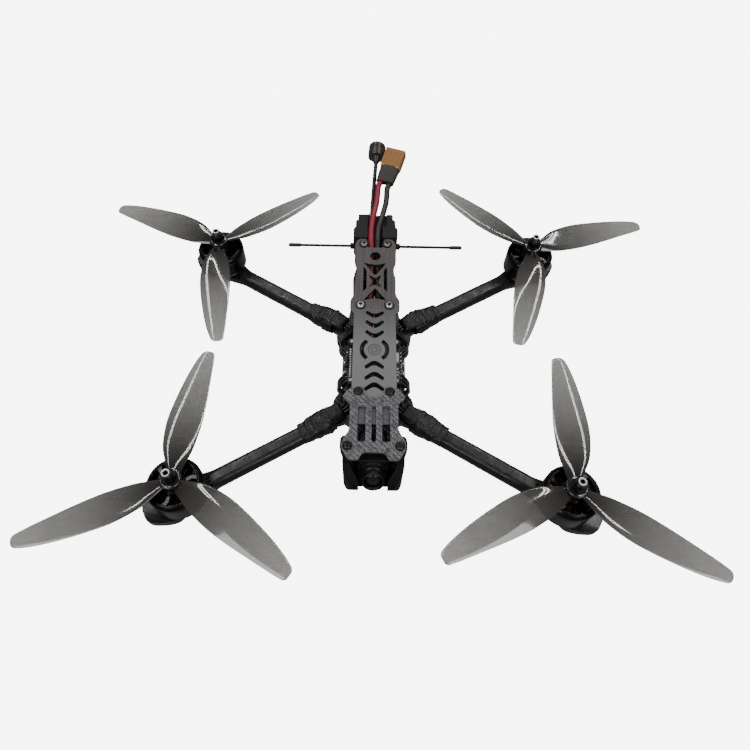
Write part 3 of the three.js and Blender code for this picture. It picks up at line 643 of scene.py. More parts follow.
def circuit():
    """Black solder mask over fine copper tracks and vias."""
    look = Look("circuit_board", (0.012, 0.015, 0.013), 0.32, specular_ior_level=0.6)
    cells = look.node("TexVoronoi", {"Vector": look.where(0.7, 0.7, 0.7), "Scale": 1.0},
                      distance="MANHATTAN")
    tracks = look.span(look.math("FRACT", look.math("MULTIPLY", cells.outputs[0], 4.0)), 0.42, 0.5)
    vias = look.span(look.node("TexVoronoi",
                               {"Vector": look.where(0.55, 0.55, 0.55), "Scale": 1.0}).outputs[0],
                     0.1, 0.14, 1.0, 0.0)
    board = look.blend(tracks, (0.009, 0.012, 0.010), (0.026, 0.034, 0.029))
    flat = look.span(look.facing(), 0.8, 0.97)
    board = look.blend(look.math("MULTIPLY", vias, flat), board, (0.3, 0.29, 0.25))
    look.set("Base Color", look.blend(flat, (0.03, 0.03, 0.024), board))
    look.set("Roughness", look.span(look.spots(4.0), 0.3, 0.7, 0.25, 0.42))
    look.bump(tracks, 0.03)
    return look


def windings():
    """Enamelled copper turns, painted dark for the shade inside the bell, darker still in patches."""
    look = Look("enamelled_copper", (0.2, 0.07, 0.025), 0.3, 0.75, specular_ior_level=0.6)
    heat = look.span(look.spots(3.0, 3.0), 0.35, 0.7)
    # Both tones are far darker than copper: painted shade inside the bell, with random darker patches.
    look.set("Base Color", look.blend(heat, (0.045, 0.018, 0.011), (0.016, 0.008, 0.006)))
    look.set("Roughness", look.span(look.spots(1.0), 0.3, 0.7, 0.24, 0.42))
    look.bump(look.spots(0.5), 0.02)
    return look


def brushed(name, colour, roughness, around=False, **fixed):
    """Turned or brushed metal with fine tool lines and darker handling marks."""
    look = Look(name, colour, roughness, 1.0, **fixed)
    lines = look.spots(0.5, 3.0, (6, 6, 0.25) if around else (0.3, 6, 6))
    marks = look.span(look.spots(2.0, 3.0), 0.45, 0.7)
    look.set("Base Color", look.blend(marks, colour, tuple(c * 0.7 for c in colour)))
    look.set("Roughness", look.span(lines, 0.3, 0.7, roughness - 0.08, roughness + 0.1))
    look.bump(lines, 0.012)
    return look


LOOKS = {
    "roof": roof_carbon(),
    # Each twill look's two colours are its warp and weft tones, painted lighter and darker for their
    # sheen.
    "nose": woven("speckled_twill", (0.12, 0.122, 0.132), (0.05, 0.05, 0.056), 0.24, tow=0.9,
                  relief=0.05,
                  edge=(0.16, 0.16, 0.165), speckle=0.9, coat_weight=0.6, coat_roughness=0.08),
    "deck": woven("gloss_twill", (0.032, 0.032, 0.034), (0.012, 0.012, 0.013), 0.22, coat_weight=0.5,
                  coat_roughness=0.06),
    "arm": woven("arm_twill", (0.022, 0.021, 0.021), (0.009, 0.009, 0.009), 0.3,
                 edge=(0.018, 0.017, 0.017),
                 coat_weight=0.3, coat_roughness=0.15),
    "sleeve": shrink_sleeve(),
    "tape": tape(),
    "print": printed(),
    "smoke": smoke(),
    "board": circuit(),
    "copper": windings(),
    "steel": brushed("bright_steel", (0.62, 0.61, 0.59), 0.34, around=True),
    # A darker, browner copy of the bright steel for the rear screws: painted shade.
    "shaded_steel": brushed("shaded_steel", (0.27, 0.25, 0.235), 0.4, around=True),
    # Near-white and not metallic: the tin pads' colour is a painted glint.
    "tin": grained("tin_painted_glint", (0.92, 0.92, 0.91), 0.4, size=0.7, vary=0.06, relief=0.03),
    "magnet": brushed("nickel", (0.55, 0.54, 0.52), 0.3),
    "black_steel": brushed("black_oxide_steel", (0.05, 0.048, 0.046), 0.34, around=True),
    "alloy": brushed("black_anodised", (0.022, 0.022, 0.024), 0.34, around=True),
    "bell": brushed("gloss_black_anodised", (0.014, 0.013, 0.013), 0.28, around=True, coat_weight=0.25,
                    coat_roughness=0.12),
    "flux": brushed("black_flux_ring", (0.03, 0.029, 0.029), 0.27, around=True, coat_weight=0.4,
                    coat_roughness=0.12),
    "lamination": brushed("laminated_core", (0.10, 0.098, 0.095), 0.45, around=True),
    "solder": grained("solder", (0.62, 0.62, 0.6), 0.36, 0.85, size=0.7, vary=0.12, relief=0.05),
    "gold": grained("gold_plate", (0.5, 0.34, 0.13), 0.28, 1.0, size=0.6, vary=0.1, spread=0.06),
    "chip": grained("moulded_chip", (0.014, 0.014, 0.015), 0.42, size=0.25, vary=0.35, relief=0.015),
    "plastic": grained("moulded_black", (0.010, 0.0093, 0.009), 0.46, size=0.3, vary=0.3, relief=0.02,
                       specular_ior_level=0.25),
    "cheek": grained("camera_cheek", (0.0055, 0.0048, 0.0046), 0.55, size=0.5, vary=0.4, relief=0.03,
                     specular_ior_level=0.12),
    "cap": grained("antenna_cap", (0.030, 0.028, 0.025), 0.3, size=0.8, vary=0.5, relief=0.05),
    "lens": grained("lens_barrel", (0.007, 0.0068, 0.0073), 0.36, size=0.3, vary=0.25, relief=0.01,
                    specular_ior_level=0.3),
    "white_plastic": grained("white_connector", (0.72, 0.71, 0.66), 0.38, size=0.5, vary=0.08,
                             relief=0.02),
    "black_wire": grained("black_silicone_wire", (0.012, 0.0115, 0.011), 0.36, size=0.8, vary=0.4,
                          spread=0.1,
                          relief=0.03),
    "red_wire": grained("red_silicone", (0.26, 0.012, 0.028), 0.42, size=0.9, vary=0.22, spread=0.08,
                        relief=0.03),
    "dark_wire": grained("black_silicone", (0.018, 0.0165, 0.0135), 0.42, size=0.9, vary=0.3,
                         spread=0.08, relief=0.03),
    "white_wire": grained("white_wire", (0.7, 0.69, 0.66), 0.4, size=0.6, vary=0.1),
    "nylon": grained("yellow_nylon", (0.30, 0.132, 0.03), 0.5, size=0.8, vary=0.12, spread=0.08,
                     relief=0.03),
    "nylon_edge": grained("yellow_nylon_rim", (0.46, 0.29, 0.06), 0.4, size=0.8, vary=0.12,
                          relief=0.02),
    "sheath": grained("plug_sheath", (0.030, 0.0275, 0.021), 0.58, size=1.2, vary=0.28, spread=0.1,
                      relief=0.06),
    "rubber": grained("black_rubber", (0.014, 0.0135, 0.013), 0.62, size=0.5, vary=0.3, relief=0.03),
    "can": grained("capacitor_sleeve", (0.018, 0.02, 0.035), 0.3, size=1.0, vary=0.2, relief=0.01,
                   coat_weight=0.4,
                   coat_roughness=0.15),
    "aluminium": brushed("aluminium", (0.62, 0.62, 0.63), 0.33),
    "glass": grained("coated_glass", (0.003, 0.003, 0.006), 0.08, size=4.0, vary=0.5, spread=0.02,
                     relief=0.001,
                     coat_weight=0.6, coat_roughness=0.03, coat_tint=(0.72, 0.62, 1.0, 1.0)),
    # A near-black fill for sockets and bores: painted shade.
    "hollow": grained("painted_shade_fill", (0.003, 0.003, 0.003), 0.8, size=0.4, vary=0.3, relief=0.005),
    "engraved": grained("engraved_line", (0.03, 0.03, 0.036), 0.6, size=0.3, vary=0.4, relief=0.02),
}
LOOKS = {name: look.material for name, look in LOOKS.items()}

# ---------------------------------------------------------------- battery leads and plug

LEAD_RADIUS = 2.2
PLUG_SEAM = Vector((10.6, 158.5, 48.1))  # where the plug's body and its sheath meet
PLUG_TURN = Matrix.Rotation(math.radians(-18.7), 4, "Z") @ Matrix.Rotation(math.radians(17), 4, "X")
PLUG_PLACE = Matrix.Translation(PLUG_SEAM) @ PLUG_TURN  # its own +Y points out of the plug
PIN_PITCH = 3.6
PLUG_LENGTH = 16.0
SHEATH_LENGTH = 13.0


def cable_entry(side, back):
    return PLUG_PLACE @ Vector((side * PIN_PITCH, -back, 0))


LEADS = {
    "red": (-1, [
        (-2.6, 19.5, 16.8), (-2.6, 28, 18.6), (-2.5, 38, 21.6), (-2.5, 50, 24.2), (-2.6, 62, 25.8),
        (-2.8, 73, 27.4),
        (-3, 81, 29.6), (-3.1, 86.5, 32), (-3.2, 91.5, 35.2), (-3.3, 97, 37.2), (-3.1, 105, 37.5),
        (-2.3, 114, 37.8), (-0.9, 122, 38.5), (0.7, 131, 40.1)]),
    "black": (1, [
        (2.4, 19.5, 16.8), (2.4, 28, 18.6), (2.4, 38, 21.6), (2.3, 50, 24.2), (2.2, 62, 25.8),
        (2, 73, 27.4),
        (1.8, 81, 29.6), (1.7, 86.5, 32), (1.6, 91.5, 35.2), (1.6, 97, 37.2), (2.1, 105, 37.5),
        (4, 114, 37.8), (6, 122, 38.5), (7.9, 131, 40.3)]),
}


def battery_plug():
    """A two-pin power plug: body with one edge cut back, ribs on its faces, and two gold sockets."""
    wide, tall = 8.0, 4.05
    body = rounded([(-wide, -tall, 0.9), (wide, -tall, 0.9), (wide, tall, 2.6), (-wide, tall, 0.9)])
    upright = Matrix.Rotation(-math.pi / 2, 4, "X") @ Matrix.Scale(-1, 4, (0, 1, 0))
    shell = moved(plate(body, 1.4, PLUG_LENGTH, edge=0.35), upright)
    mouths = [rod(2.75, (side * PIN_PITCH, PLUG_LENGTH - 9, 0), (side * PIN_PITCH, PLUG_LENGTH + 1, 0))
              for side in (-1, 1)]
    ribs = [block((x - 0.45, 3.2, z * (tall - 0.25)), (x + 0.45, 12.5, z * (tall + 0.6)), 0.1)
            for x in (-5.2, -2.6, 0, 2.6, 5.2) for z in (-1, 1)]
    piece = Piece("power_plug", "yellow_nylon", stands_for=["battery_plug"], place=PLUG_PLACE)
    piece.add(solid([shell], mouths + ribs), LOOKS["nylon"])
    collar = rounded([(x * 0.96, y * 0.93, r) for x, y, r in (
        (-wide, -tall, 0.9), (wide, -tall, 0.9), (wide, tall, 2.2), (-wide, tall, 0.9))])
    piece.add(moved(plate(collar, -0.1, 1.7, edge=0.2), upright), LOOKS["nylon_edge"])
    for side in (-1, 1):
        sleeve = turned([(1.75, 0), (2.15, 0), (2.25, 0.2), (2.25, 9.5), (2.1, 9.8), (1.9, 9.8),
                         (1.75, 9.5)], 24)
        lay = Matrix.Translation((side * PIN_PITCH, PLUG_LENGTH - 10.2,
                                  0)) @ Matrix.Rotation(-math.pi / 2, 4, "X")
        piece.add(sleeve, LOOKS["gold"], lay)
        piece.add(turned([(0, -0.2), (1.9, -0.2), (1.9, 0.4), (0, 0.4)], 24), LOOKS["gold"], lay)
    return piece.finish()


def plug_sheath():
    """A heat-shrunk sleeve that narrows onto the two leads."""
    piece = Piece("plug_shrink", "sheath", stands_for=["plug_sheath"], place=PLUG_PLACE)
    rings = []
    sides = 48
    for step in range(17):
        t = step / 16
        back = -SHEATH_LENGTH + (SHEATH_LENGTH + 0.9) * t
        wide, tall = 6.75 + 0.95 * t ** 0.8, 3.35 + 0.6 * t ** 0.9
        pinch = 0.85 * (1 - t) ** 2
        ring = []
        for k in range(sides):
            angle = 2 * math.pi * k / sides
            c, s = math.cos(angle), math.sin(angle)
            x = wide * math.copysign(abs(c) ** 0.5, c)
            z = tall * math.copysign(abs(s) ** 0.6,
                                     s) - pinch * math.copysign(math.exp(-(x / 2.2) ** 2), s)
            crease = 0.12 * noise.noise(Vector((x * 0.35, back * 0.25, z * 0.4)))
            ring.append((x * (1 + crease * 0.12), back, z + crease))
        rings.append(ring)
    inner = [[(x * 0.9, y, z * 0.86) for x, y, z in rings[0]],
             [(x * 0.88, y + 2.0, z * 0.8) for x, y, z in rings[0]]]
    piece.add(loft([inner[1], inner[0], *rings]), LOOKS["sheath"])
    return piece.finish(50)


def battery_leads():
    plug, sheath = battery_plug(), plug_sheath()
    for colour, (side, points) in LEADS.items():
        route = smooth([*points, cable_entry(side, SHEATH_LENGTH + 5),
                        cable_entry(side, SHEATH_LENGTH + 0.3)], 8)
        path = route + [cable_entry(side, SHEATH_LENGTH - 2), cable_entry(side, SHEATH_LENGTH - 4)]
        look = LOOKS["red_wire" if colour == "red" else "dark_wire"]
        lead = Piece(f"lead_{colour}", f"{colour}_silicone", stands_for=[f"battery_lead_{colour}"])
        lead.add(swept(path, LEAD_RADIUS, 20), look)
        made = lead.finish(60)


battery_leads()

# ---------------------------------------------------------------- frame plates


def chevron(end_y, tip_y, tip_radius=3.8):
    """One arrow-shaped slot: a bent band between its ends and its tip."""
    half, thick = 5.5, 1.45
    slope = (tip_y - end_y) / half
    lift = thick * math.hypot(1, slope)
    nose = thick * math.sin(math.atan(abs(slope)))
    side = math.copysign(1, tip_y - end_y)
    far = end_y - side * nose * 0.2 + thick * side * 0.6
    return rounded([(-half - nose, far, 0.9), (0, tip_y + side * lift, tip_radius),
                    (half + nose, far, 0.9),
                    (half, end_y - side * thick, 0.9), (0, tip_y - side * lift, tip_radius),
                    (-half, end_y - side * thick, 0.9)])


def bracket(side):
    """One bracket-shaped slot of the pair round the roof's middle."""
    centre_y, inner, outer, spread = -3.0, 7.0, 9.6, math.radians(53)
    facing = 0 if side > 0 else math.pi
    angles = [facing + spread * (step / 12 - 1) for step in range(25)]
    arc = [(outer * math.cos(a), centre_y + outer * math.sin(a)) for a in angles]
    back = [(inner * math.cos(a), centre_y + inner * math.sin(a)) for a in reversed(angles)]
    return [Vector(p) for p in arc + back]


def roof():
    outline = rounded(both_sides([
        (13.5, -56.7, 1), (14.2, -54, 1), (14.2, 26, 2), (17, 29.5, 2), (17, 37.5, 2), (14.5, 42, 3),
        (13.2, 66.7, 3), (15, 72, 3), (15, 89.5, 3), (12.5, 94.5, 3), (6.5, 94.5, 2), (5.4, 91, 1),
        (5.4, 86, 1)]))
    side_slot = [(8.3, 67.2, 0.6), (6.1, 64.6, 0.6), (6.1, 48, 0.6), (8.3, 45, 0.6)]
    holes = [
        *pair(FRONT_POST, 1.8), *pair(MIDDLE_POST, 1.8), *pair(REAR_POST, 1.8), circle(0, 77.6, 3.75),
        rounded([(-7.8, 71, 0.8), (0, 68.8, 4), (7.8, 71, 0.8), (0.8, 60.4, 0.8), (-0.8, 60.4, 0.8)]),
        rounded(side_slot), rounded([(-x, y, r) for x, y, r in side_slot]),
        rounded([(-4.3, 59.8), (0, 56.7), (4.3, 59.8), (2.3, 54), (4.3, 48.6), (0, 51.2), (-4.3, 48.6),
                 (-2.3, 54)], 0.6),
        rounded([(0, 48, 0.8), (7.9, 37.4, 0.8), (0, 39.4, 4), (-7.9, 37.4, 0.8)]),
        chevron(26.9, 23.4), chevron(19.2, 15.0), chevron(11.1, 6.9), bracket(1), bracket(-1),
        chevron(-16.4, -12.3), chevron(-24.6, -20.5), chevron(-32.5, -28.2),
    ]
    piece = Piece("roof", "roof_carbon", stands_for=["roof_plate"])
    piece.add(plate(outline, ROOF_BOTTOM, ROOF_TOP, holes, 0.22), LOOKS["roof"])
    for radius, wide in ((4.4, 0.5), (3.0, 0.35)):
        ring = turned([(radius - wide, -0.02), (radius - wide, 0.02), (radius, 0.02), (radius, -0.02)],
                      64)
        piece.add(ring, LOOKS["engraved"], Matrix.Translation((0, -3, ROOF_TOP)))
    for angle in range(0, 360, 45):
        tick = block((1.0, -0.25, -0.02), (2.3, 0.25, 0.02), 0.01)
        piece.add(tick, LOOKS["engraved"], turned_to(0, -3, ROOF_TOP, angle))
    piece.finish()


def nose_plate():
    outline = rounded(both_sides([
        (6.6, -75.4, 2.5), (8.9, -80.2, 1.2), (15, -80.2, 2), (19.2, -73, 3), (18.8, -68, 3),
        (14.7, -61, 2),
        (14.7, -43, 3), (18.8, -40.2, 1.5), (18.8, -37.2, 1.5), (15.5, -33.2, 1.5), (13.4, -32.2, 3),
        (6.6, -32.2, 1.5), (5.8, -36.8, 3), (2.6, -39.2, 3)]))
    slots = [oblong(half, -68.6, -45.3, 0.9, x) for x, half in ((-7.4, 2.4), (0, 1.4), (7.4, 2.4))]
    holes = [*pair(FRONT_POST, 1.8), *pair(NOSE_BOLT, 1.8), *slots]
    Piece("nose_plate", "front_carbon", stands_for=["front_plate"]).add(
        plate(outline, ROOF_TOP, NOSE_TOP, holes, 0.25), LOOKS["nose"]).finish()


def deck():
    outline = rounded(both_sides([
        (13, -80, 3), (18.5, -77, 3), (18.5, -63, 3), (15, -56, 3), (15, -46, 3), (27, -35, 3),
        (27, -26, 4),
        (21, -17, 4), (21, 16, 4), (27, 25, 4), (27, 33, 3), (18.5, 42, 4), (16, 63, 3), (16.5, 79, 3),
        (14, 91, 3), (11, 94.5, 2)]))
    holes = [*pair(FRONT_POST, 1.6), *pair(MIDDLE_POST, 1.6), *pair(REAR_POST, 1.6),
             oblong(9, -66, -48, 3), oblong(8, 46, 74, 3)]
    Piece("deck", "frame_carbon", stands_for=["main_deck"]).add(
        plate(outline, ARM_TOP, DECK_TOP, holes), LOOKS["deck"]).finish()


def grip_pads():
    """The grooved rubber pads stuck below the deck, which close its two windows from underneath."""
    for name, half, front, back in (("front", 11.5, -68.5, -46), ("rear", 10.5, 43.5, 76.5)):
        outline = oblong(half, front, back, 2.5)
        count = round((back - front) / 4) - 1
        rows = [front + 3 + (back - front - 6) * k / (count - 1) for k in range(count)]
        grooves = [block((2 - half, y - 0.4, 6.0), (half - 2, y + 0.4, 6.6), 0.1) for y in rows]
        Piece(f"grip_pad_{name}", "black_plastic").add(
            solid([plate(outline, 6.1, ARM_TOP, edge=0.3)], grooves), LOOKS["rubber"]).finish()


ROOT_BOLT = (22.5, 30.5)  # the outer screw of each arm's root
CLAMP_BOLTS = [(x * STACK_PITCH / 2, STACK_Y + y * STACK_PITCH / 2) for x in (-1, 1)
               for y in (-1, 1)] + [
    (x * ROOT_BOLT[0], y * ROOT_BOLT[1]) for x in (-1, 1) for y in (-1, 1)]


def belly():
    outline = rounded(both_sides([
        (10, -45, 3), (27, -35, 3), (27, -26, 4), (21, -17, 4), (21, 16, 4), (27, 25, 4), (27, 34, 3),
        (10, 45, 3)]))
    windows = [rounded([(-9, side * 14), (9, side * 14), (5, side * 25), (-5, side * 25)], 2)
               for side in (-1, 1)]
    seats = [circle(x, y, 3.0) for x, y in CLAMP_BOLTS]
    piece = Piece("belly", "frame_carbon", stands_for=["belly_plate"])
    piece.add(plate(outline, 0, BELLY_TOP, windows + seats), LOOKS["deck"])
    for x, y in CLAMP_BOLTS:
        upside_down = Matrix.Translation((x, y, 2.1)) @ Matrix.Rotation(math.pi, 4, "X")
        piece.add(bolt_head(M3_HEAD, 1.9, 1.15, flat=True), LOOKS["black_steel"], upside_down)
        piece.add(turned([(0, 2.0), (1.5, 2.0), (1.5, ARM_TOP), (0, ARM_TOP)], 24),
                  LOOKS["black_steel"], turned_to(x, y, 0))
    piece.finish()


# ---------------------------------------------------------------- screws and posts

M3_HEAD, M3_HEIGHT, M3_SOCKET = 2.9, 1.6, 1.4
FOOT_HEAD, FOOT_HEIGHT, FOOT_SOCKET = 2.75, 1.6, 1.1


def bolt_head(radius, height, socket, flat=False):
    """A screw's head on z = 0: button or countersunk, with a hexagon socket."""
    sides = 48
    hexagon = [polygon_radius(2 * math.pi * k / sides, socket, 6) for k in range(sides)]
    if flat:
        outer = [(1.5, 0), (radius, height - 0.25), (radius, height)]
    else:
        outer = [(radius - 0.15, 0), (radius, 0.15), (radius, 0.45), (radius * 0.94, 0.85),
                 (radius * 0.82, 1.2),
                 (radius * 0.64, height - 0.1), (radius * 0.56, height)]
    rings = [[(*polar(r, 2 * math.pi * k / sides), z) for k in range(sides)] for r, z in outer]
    for grow, z in ((1.08, height), (1.0, height - 0.12), (1.0, 0.45), (0.5, 0.3)):
        rings.append([(*polar(grow * h, 2 * math.pi * k / sides), z) for k, h in enumerate(hexagon)])
    return loft(rings)


def hollow(socket, height):
    """A dark plug filling a head's hexagon socket: painted shade for its inside."""
    return prism(socket * 1.02, 0.4, height - 0.25, edge=0.05)


def bolts():
    # The rear screws take the darker copy of the steel, which is painted shade.
    seats = (("nose", NOSE_BOLT, NOSE_TOP, "black_steel"),
             ("front", FRONT_POST, NOSE_TOP, "black_steel"),
             ("middle", MIDDLE_POST, ROOF_TOP, "steel"), ("rear", REAR_POST, ROOF_TOP, "shaded_steel"))
    for place, at, z, metal in seats:
        for hand, side in SIDES.items():
            piece = Piece(f"bolt_{place}_{hand}",
                          "black_steel" if metal == "black_steel" else "bright_steel",
                          stands_for=[f"screw_{place}_{hand}"],
                          place=turned_to(side * at.x, at.y, z, 17 * side + 40))
            washer = turned([(1.9, -0.3), (3.55, -0.3), (3.7, -0.1), (3.7, 0.12), (3.3, 0.22),
                             (1.9, 0.22)])
            if metal != "black_steel":
                piece.add(washer, LOOKS["alloy"])
            seat = Matrix.Translation((0, 0, 0.1))
            piece.add(bolt_head(M3_HEAD, M3_HEIGHT, M3_SOCKET), LOOKS[metal], seat)
            # The socket's dark fill is painted shade.
            piece.add(hollow(M3_SOCKET, M3_HEIGHT), LOOKS["hollow"], seat)
            piece.add(turned([(0, 0.1), (1.5, 0.1), (1.5, -8.6), (1.1, -9), (0, -9)], 24), LOOKS[metal])
            piece.finish()


def posts():
    """Round standoffs with a waist and knurled grip bands."""
    low_z, high_z = DECK_TOP, ROOF_BOTTOM
    profile = [(1.6, low_z), (2.3, low_z), (2.5, low_z + 0.25), (2.5, low_z + 4), (2.1, low_z + 4.6),
               (2.1, low_z + 8.4),
               (2.5, low_z + 9), (2.5, high_z - 9), (2.1, high_z - 8.4), (2.1, high_z - 4.6),
               (2.5, high_z - 4),
               (2.5, high_z - 0.25), (2.3, high_z), (1.6, high_z)]
    for place, at in (("front", FRONT_POST), ("middle", MIDDLE_POST), ("rear", REAR_POST)):
        for hand, side in SIDES.items():
            piece = Piece(f"post_{place}_{hand}", "black_alloy",
                          stands_for=[f"standoff_{place}_{hand}"],
                          place=turned_to(side * at.x, at.y, 0))
            piece.add(turned(profile, 32), LOOKS["alloy"])
            for k in range(20):
                rib = block((2.42, -0.14, low_z + 9.6), (2.56, 0.14, high_z - 9.6), 0.05)
                piece.add(rib, LOOKS["alloy"], turned_to(0, 0, 0, 18 * k))
            piece.finish()


# ---------------------------------------------------------------- arms, wraps and phase wires

WIRE_RADIUS = 1.1
WIRE_PITCH = 2.4
ARM_WIRE_Z = ARM_TOP + 0.3 + WIRE_RADIUS
DECK_WIRE_Z = DECK_TOP + 0.3 + WIRE_RADIUS
SLEEVE_END = ARM_LENGTH - 18.6


def arm_place(x, y):
    """An arm's own frame: X runs from the middle plane out to the motor."""
    heading = math.degrees(math.atan2(y * math.sin(ARM_ANGLE), x * math.cos(ARM_ANGLE)))
    return turned_to(0, y * ARM_ROOT_Y, 0, heading)


def arm(corner, x, y):
    """The carbon arm: mitred at its root, with a paddle under the motor and screws below it."""
    lean, half, root_half, pad = x * y, 5.5, 7.0, ARM_LENGTH

    def root(v):
        return (0.4 + lean * v * math.sin(ARM_ANGLE)) / math.cos(ARM_ANGLE)

    def edge(sign):
        return [(root(sign * root_half), sign * root_half, 0), (24, sign * root_half, 3),
                (34, sign * half, 3),
                (pad - 22, sign * half, 6), (pad - 10, sign * 8.6, 6), (pad - 1, sign * 9.6, 4),
                (pad + 6.5, sign * 14.6, 4), (pad + 14.5, sign * 12.6, 6), (pad + 25, sign * 6.5, 5)]
    outline = rounded(edge(-1) + edge(1)[::-1], steps=8)
    screws = [(pad + 8 * math.cos(a), 8 * math.sin(a))
              for a in (math.pi / 4 + k * math.pi / 2 for k in range(4))]
    holes = [circle(u, v, 1.7, 24) for u, v in screws] + [circle(pad, 0, 3.4)]
    piece = Piece(f"{corner}_arm", "arm_carbon", stands_for=[f"arm_{corner}"], place=arm_place(x, y))
    piece.add(plate(outline, BELLY_TOP, ARM_TOP, holes, 0.7), LOOKS["arm"])
    for u, v in screws:
        under = Matrix.Translation((u, v, BELLY_TOP)) @ Matrix.Rotation(math.pi, 4, "X")
        piece.add(bolt_head(FOOT_HEAD, FOOT_HEIGHT, FOOT_SOCKET), LOOKS["black_steel"], under)
        # The socket's dark fill is painted shade.
        piece.add(hollow(FOOT_SOCKET, FOOT_HEIGHT), LOOKS["hollow"], under)
        piece.add(turned([(0, BELLY_TOP), (1.45, BELLY_TOP), (1.45, 8.6), (0, 8.6)], 20),
                  LOOKS["black_steel"],
                  turned_to(u, v, 0))
    piece.finish()


def arm_sleeve(corner, x, y):
    """Heat-shrink over the arm and its three wires, which show as low ridges along the top."""
    start, sides, rings = 47.0, 56, []
    steps = 90
    for step in range(steps + 1):
        u = start + (SLEEVE_END - start) * step / steps
        ring = []
        for k in range(sides):
            angle = 2 * math.pi * (k + 0.5) / sides
            c, s = math.cos(angle), math.sin(angle)
            v = 5.95 * math.copysign(abs(c) ** 0.42, c)
            z = 5.0 + 2.85 * math.copysign(abs(s) ** 0.42, s)
            if s > 0:
                shoulder = max(0.0, 1 - (abs(v) / 5.6) ** 4)
                lanes = 0.16 * math.cos(2 * math.pi * v
                                        / WIRE_PITCH) * max(0.0, 1 - (abs(v) / 4.2) ** 4)
                z += (2.25 + lanes) * shoulder ** 0.8
            spot = Vector((u * 0.16, v * 0.12, z * 0.2 + 9 * x + 4 * y))
            fold = 0.16 * noise.noise(spot) + 0.07 * noise.noise(spot * 4)
            ring.append((u, v * (1 + 0.012 * fold), z + fold * (1 if s > 0 else 0.4)))
        rings.append(ring)
    first, last = rings[0], rings[-1]

    def inset(ring, share, shift):
        return [(u + shift, v * share, 6.0 + (z - 6.0) * share) for u, v, z in ring]
    rings = [inset(first, 0.93, 0.6), inset(first, 0.95, 0), *rings, inset(last, 0.95, 0.1),
             inset(last, 0.9, -0.8)]
    Piece(f"{corner}_sleeve", "arm_carbon",
          place=arm_place(x, y)).add(loft(rings), LOOKS["sleeve"]).finish(60)


def tape_wrap(corner, x, y):
    """Tape wound round the arm's root and its wires, each turn standing a little proud of the last."""
    around = [(31.8, 1.2, 14.3, 8.2), (36, 0.8, 14.7, 8.7), (43, 1, 13.3, 8.3), (50, 1.2, 12.2, 7.4),
              (55, 1.4, 11.5, 6.8)]
    over = [(23.8, 10.6, 14.1, 5), (26, 10.4, 14.8, 5.8), (34, 10.3, 14.8, 6.8)]
    piece = Piece(f"{corner}_tape", "tape", stands_for=[f"arm_wrap_{corner}"], place=arm_place(x, y))
    for number, stations in enumerate((around, over)):
        rings, sides = [], 56
        for u, bottom, top, half in smooth(stations, 14):
            ring = []
            for k in range(sides):
                angle = 2 * math.pi * (k + 0.5) / sides
                c, s = math.cos(angle), math.sin(angle)
                turn = ((u - 1.4 * math.sin(angle + number)) / 4.6 + angle / (2 * math.pi)) % 1.0
                step = 0.34 * (turn - 0.5) - 0.25 * math.exp(-((turn - 0.97) / 0.05) ** 2)
                spot = Vector((u * 0.22 + 7 * number, math.cos(angle) * 1.7 + 3 * x,
                               math.sin(angle) * 1.7 + 5 * y))
                grow = 1 + (step + 0.75 * noise.noise(spot) + 0.45 * noise.noise(spot * 2.7)) / 8
                tall = (top - bottom) / 2
                v = half * 0.95 * math.copysign(abs(c) ** 0.6, c) * grow
                z = (top + bottom) / 2 + tall * 0.95 * math.copysign(abs(s) ** 0.6,
                                                                     s) * (grow if s > 0 else 1.0)
                ring.append((u + 0.3 * math.sin(2 * angle + u), v, z))
            rings.append(ring)

        def inset(ring, share, shift):
            centre = sum((Vector(p) for p in ring), Vector()) / len(ring)
            return [Vector((centre.x + (p[0] - centre.x) + shift, centre.y + (p[1] - centre.y) * share,
                            centre.z + (p[2] - centre.z) * share)) for p in ring]
        rings = [inset(rings[0], 0.8, 0.5), inset(rings[0], 0.93, -0.1), *rings,
                 inset(rings[-1], 0.94, 0.1), inset(rings[-1], 0.8, -0.5)]
        piece.add(loft(rings), LOOKS["tape"])
    piece.finish(60)


def phase_wires(corner, x, y):
    """Three silicone wires from the speed controller's pads to the motor."""
    def along(u, v, z):
        return (x * (u * math.cos(ARM_ANGLE) - v * math.sin(ARM_ANGLE)),
                y * (ARM_ROOT_Y + u * math.sin(ARM_ANGLE) + v * math.cos(ARM_ANGLE)), z)
    piece = Piece(f"{corner}_wires", "black_wire", stands_for=[f"motor_wires_{corner}"])
    for lane in (-1, 0, 1):
        v = lane * WIRE_PITCH
        points = [(x * 18.9, STACK_Y + y * (9 + 3.2 * lane), ESC_TOP + 0.3 + WIRE_RADIUS),
                  (x * 23.4, STACK_Y + y * (16 + 2.8 * lane), ESC_TOP + 1.2),
                  along(18 - 1.5 * lane, 2.3 * lane - 2.6, DECK_WIRE_Z + 1),
                  along(22.5, v, DECK_WIRE_Z),
                  along(30, v, DECK_WIRE_Z), along(38, v, ARM_WIRE_Z), along(46, v, ARM_WIRE_Z),
                  along(70, v, ARM_WIRE_Z), along(95, v, ARM_WIRE_Z),
                  along(ARM_LENGTH - 20, v, ARM_WIRE_Z),
                  along(ARM_LENGTH - 14.5, v * 0.95, ARM_WIRE_Z - 0.1),
                  along(ARM_LENGTH - 11, v * 0.9, ARM_WIRE_Z)]
        piece.add(swept(smooth(points, 6), WIRE_RADIUS, 14), LOOKS["black_wire"])
        tip = Vector(points[0])
        piece.add(rod(0.7, tip - Vector((x * 2.2, y * 2.6, 0.5)), tip + Vector((x * 0.4, y * 0.5, 0)),
                      12, 0.1), LOOKS["solder"])
    piece.finish(60)


# ---------------------------------------------------------------- motors

TEETH = 12
MAGNETS = 14
SPOKES = 6
STATOR_MIDDLE = 18.5


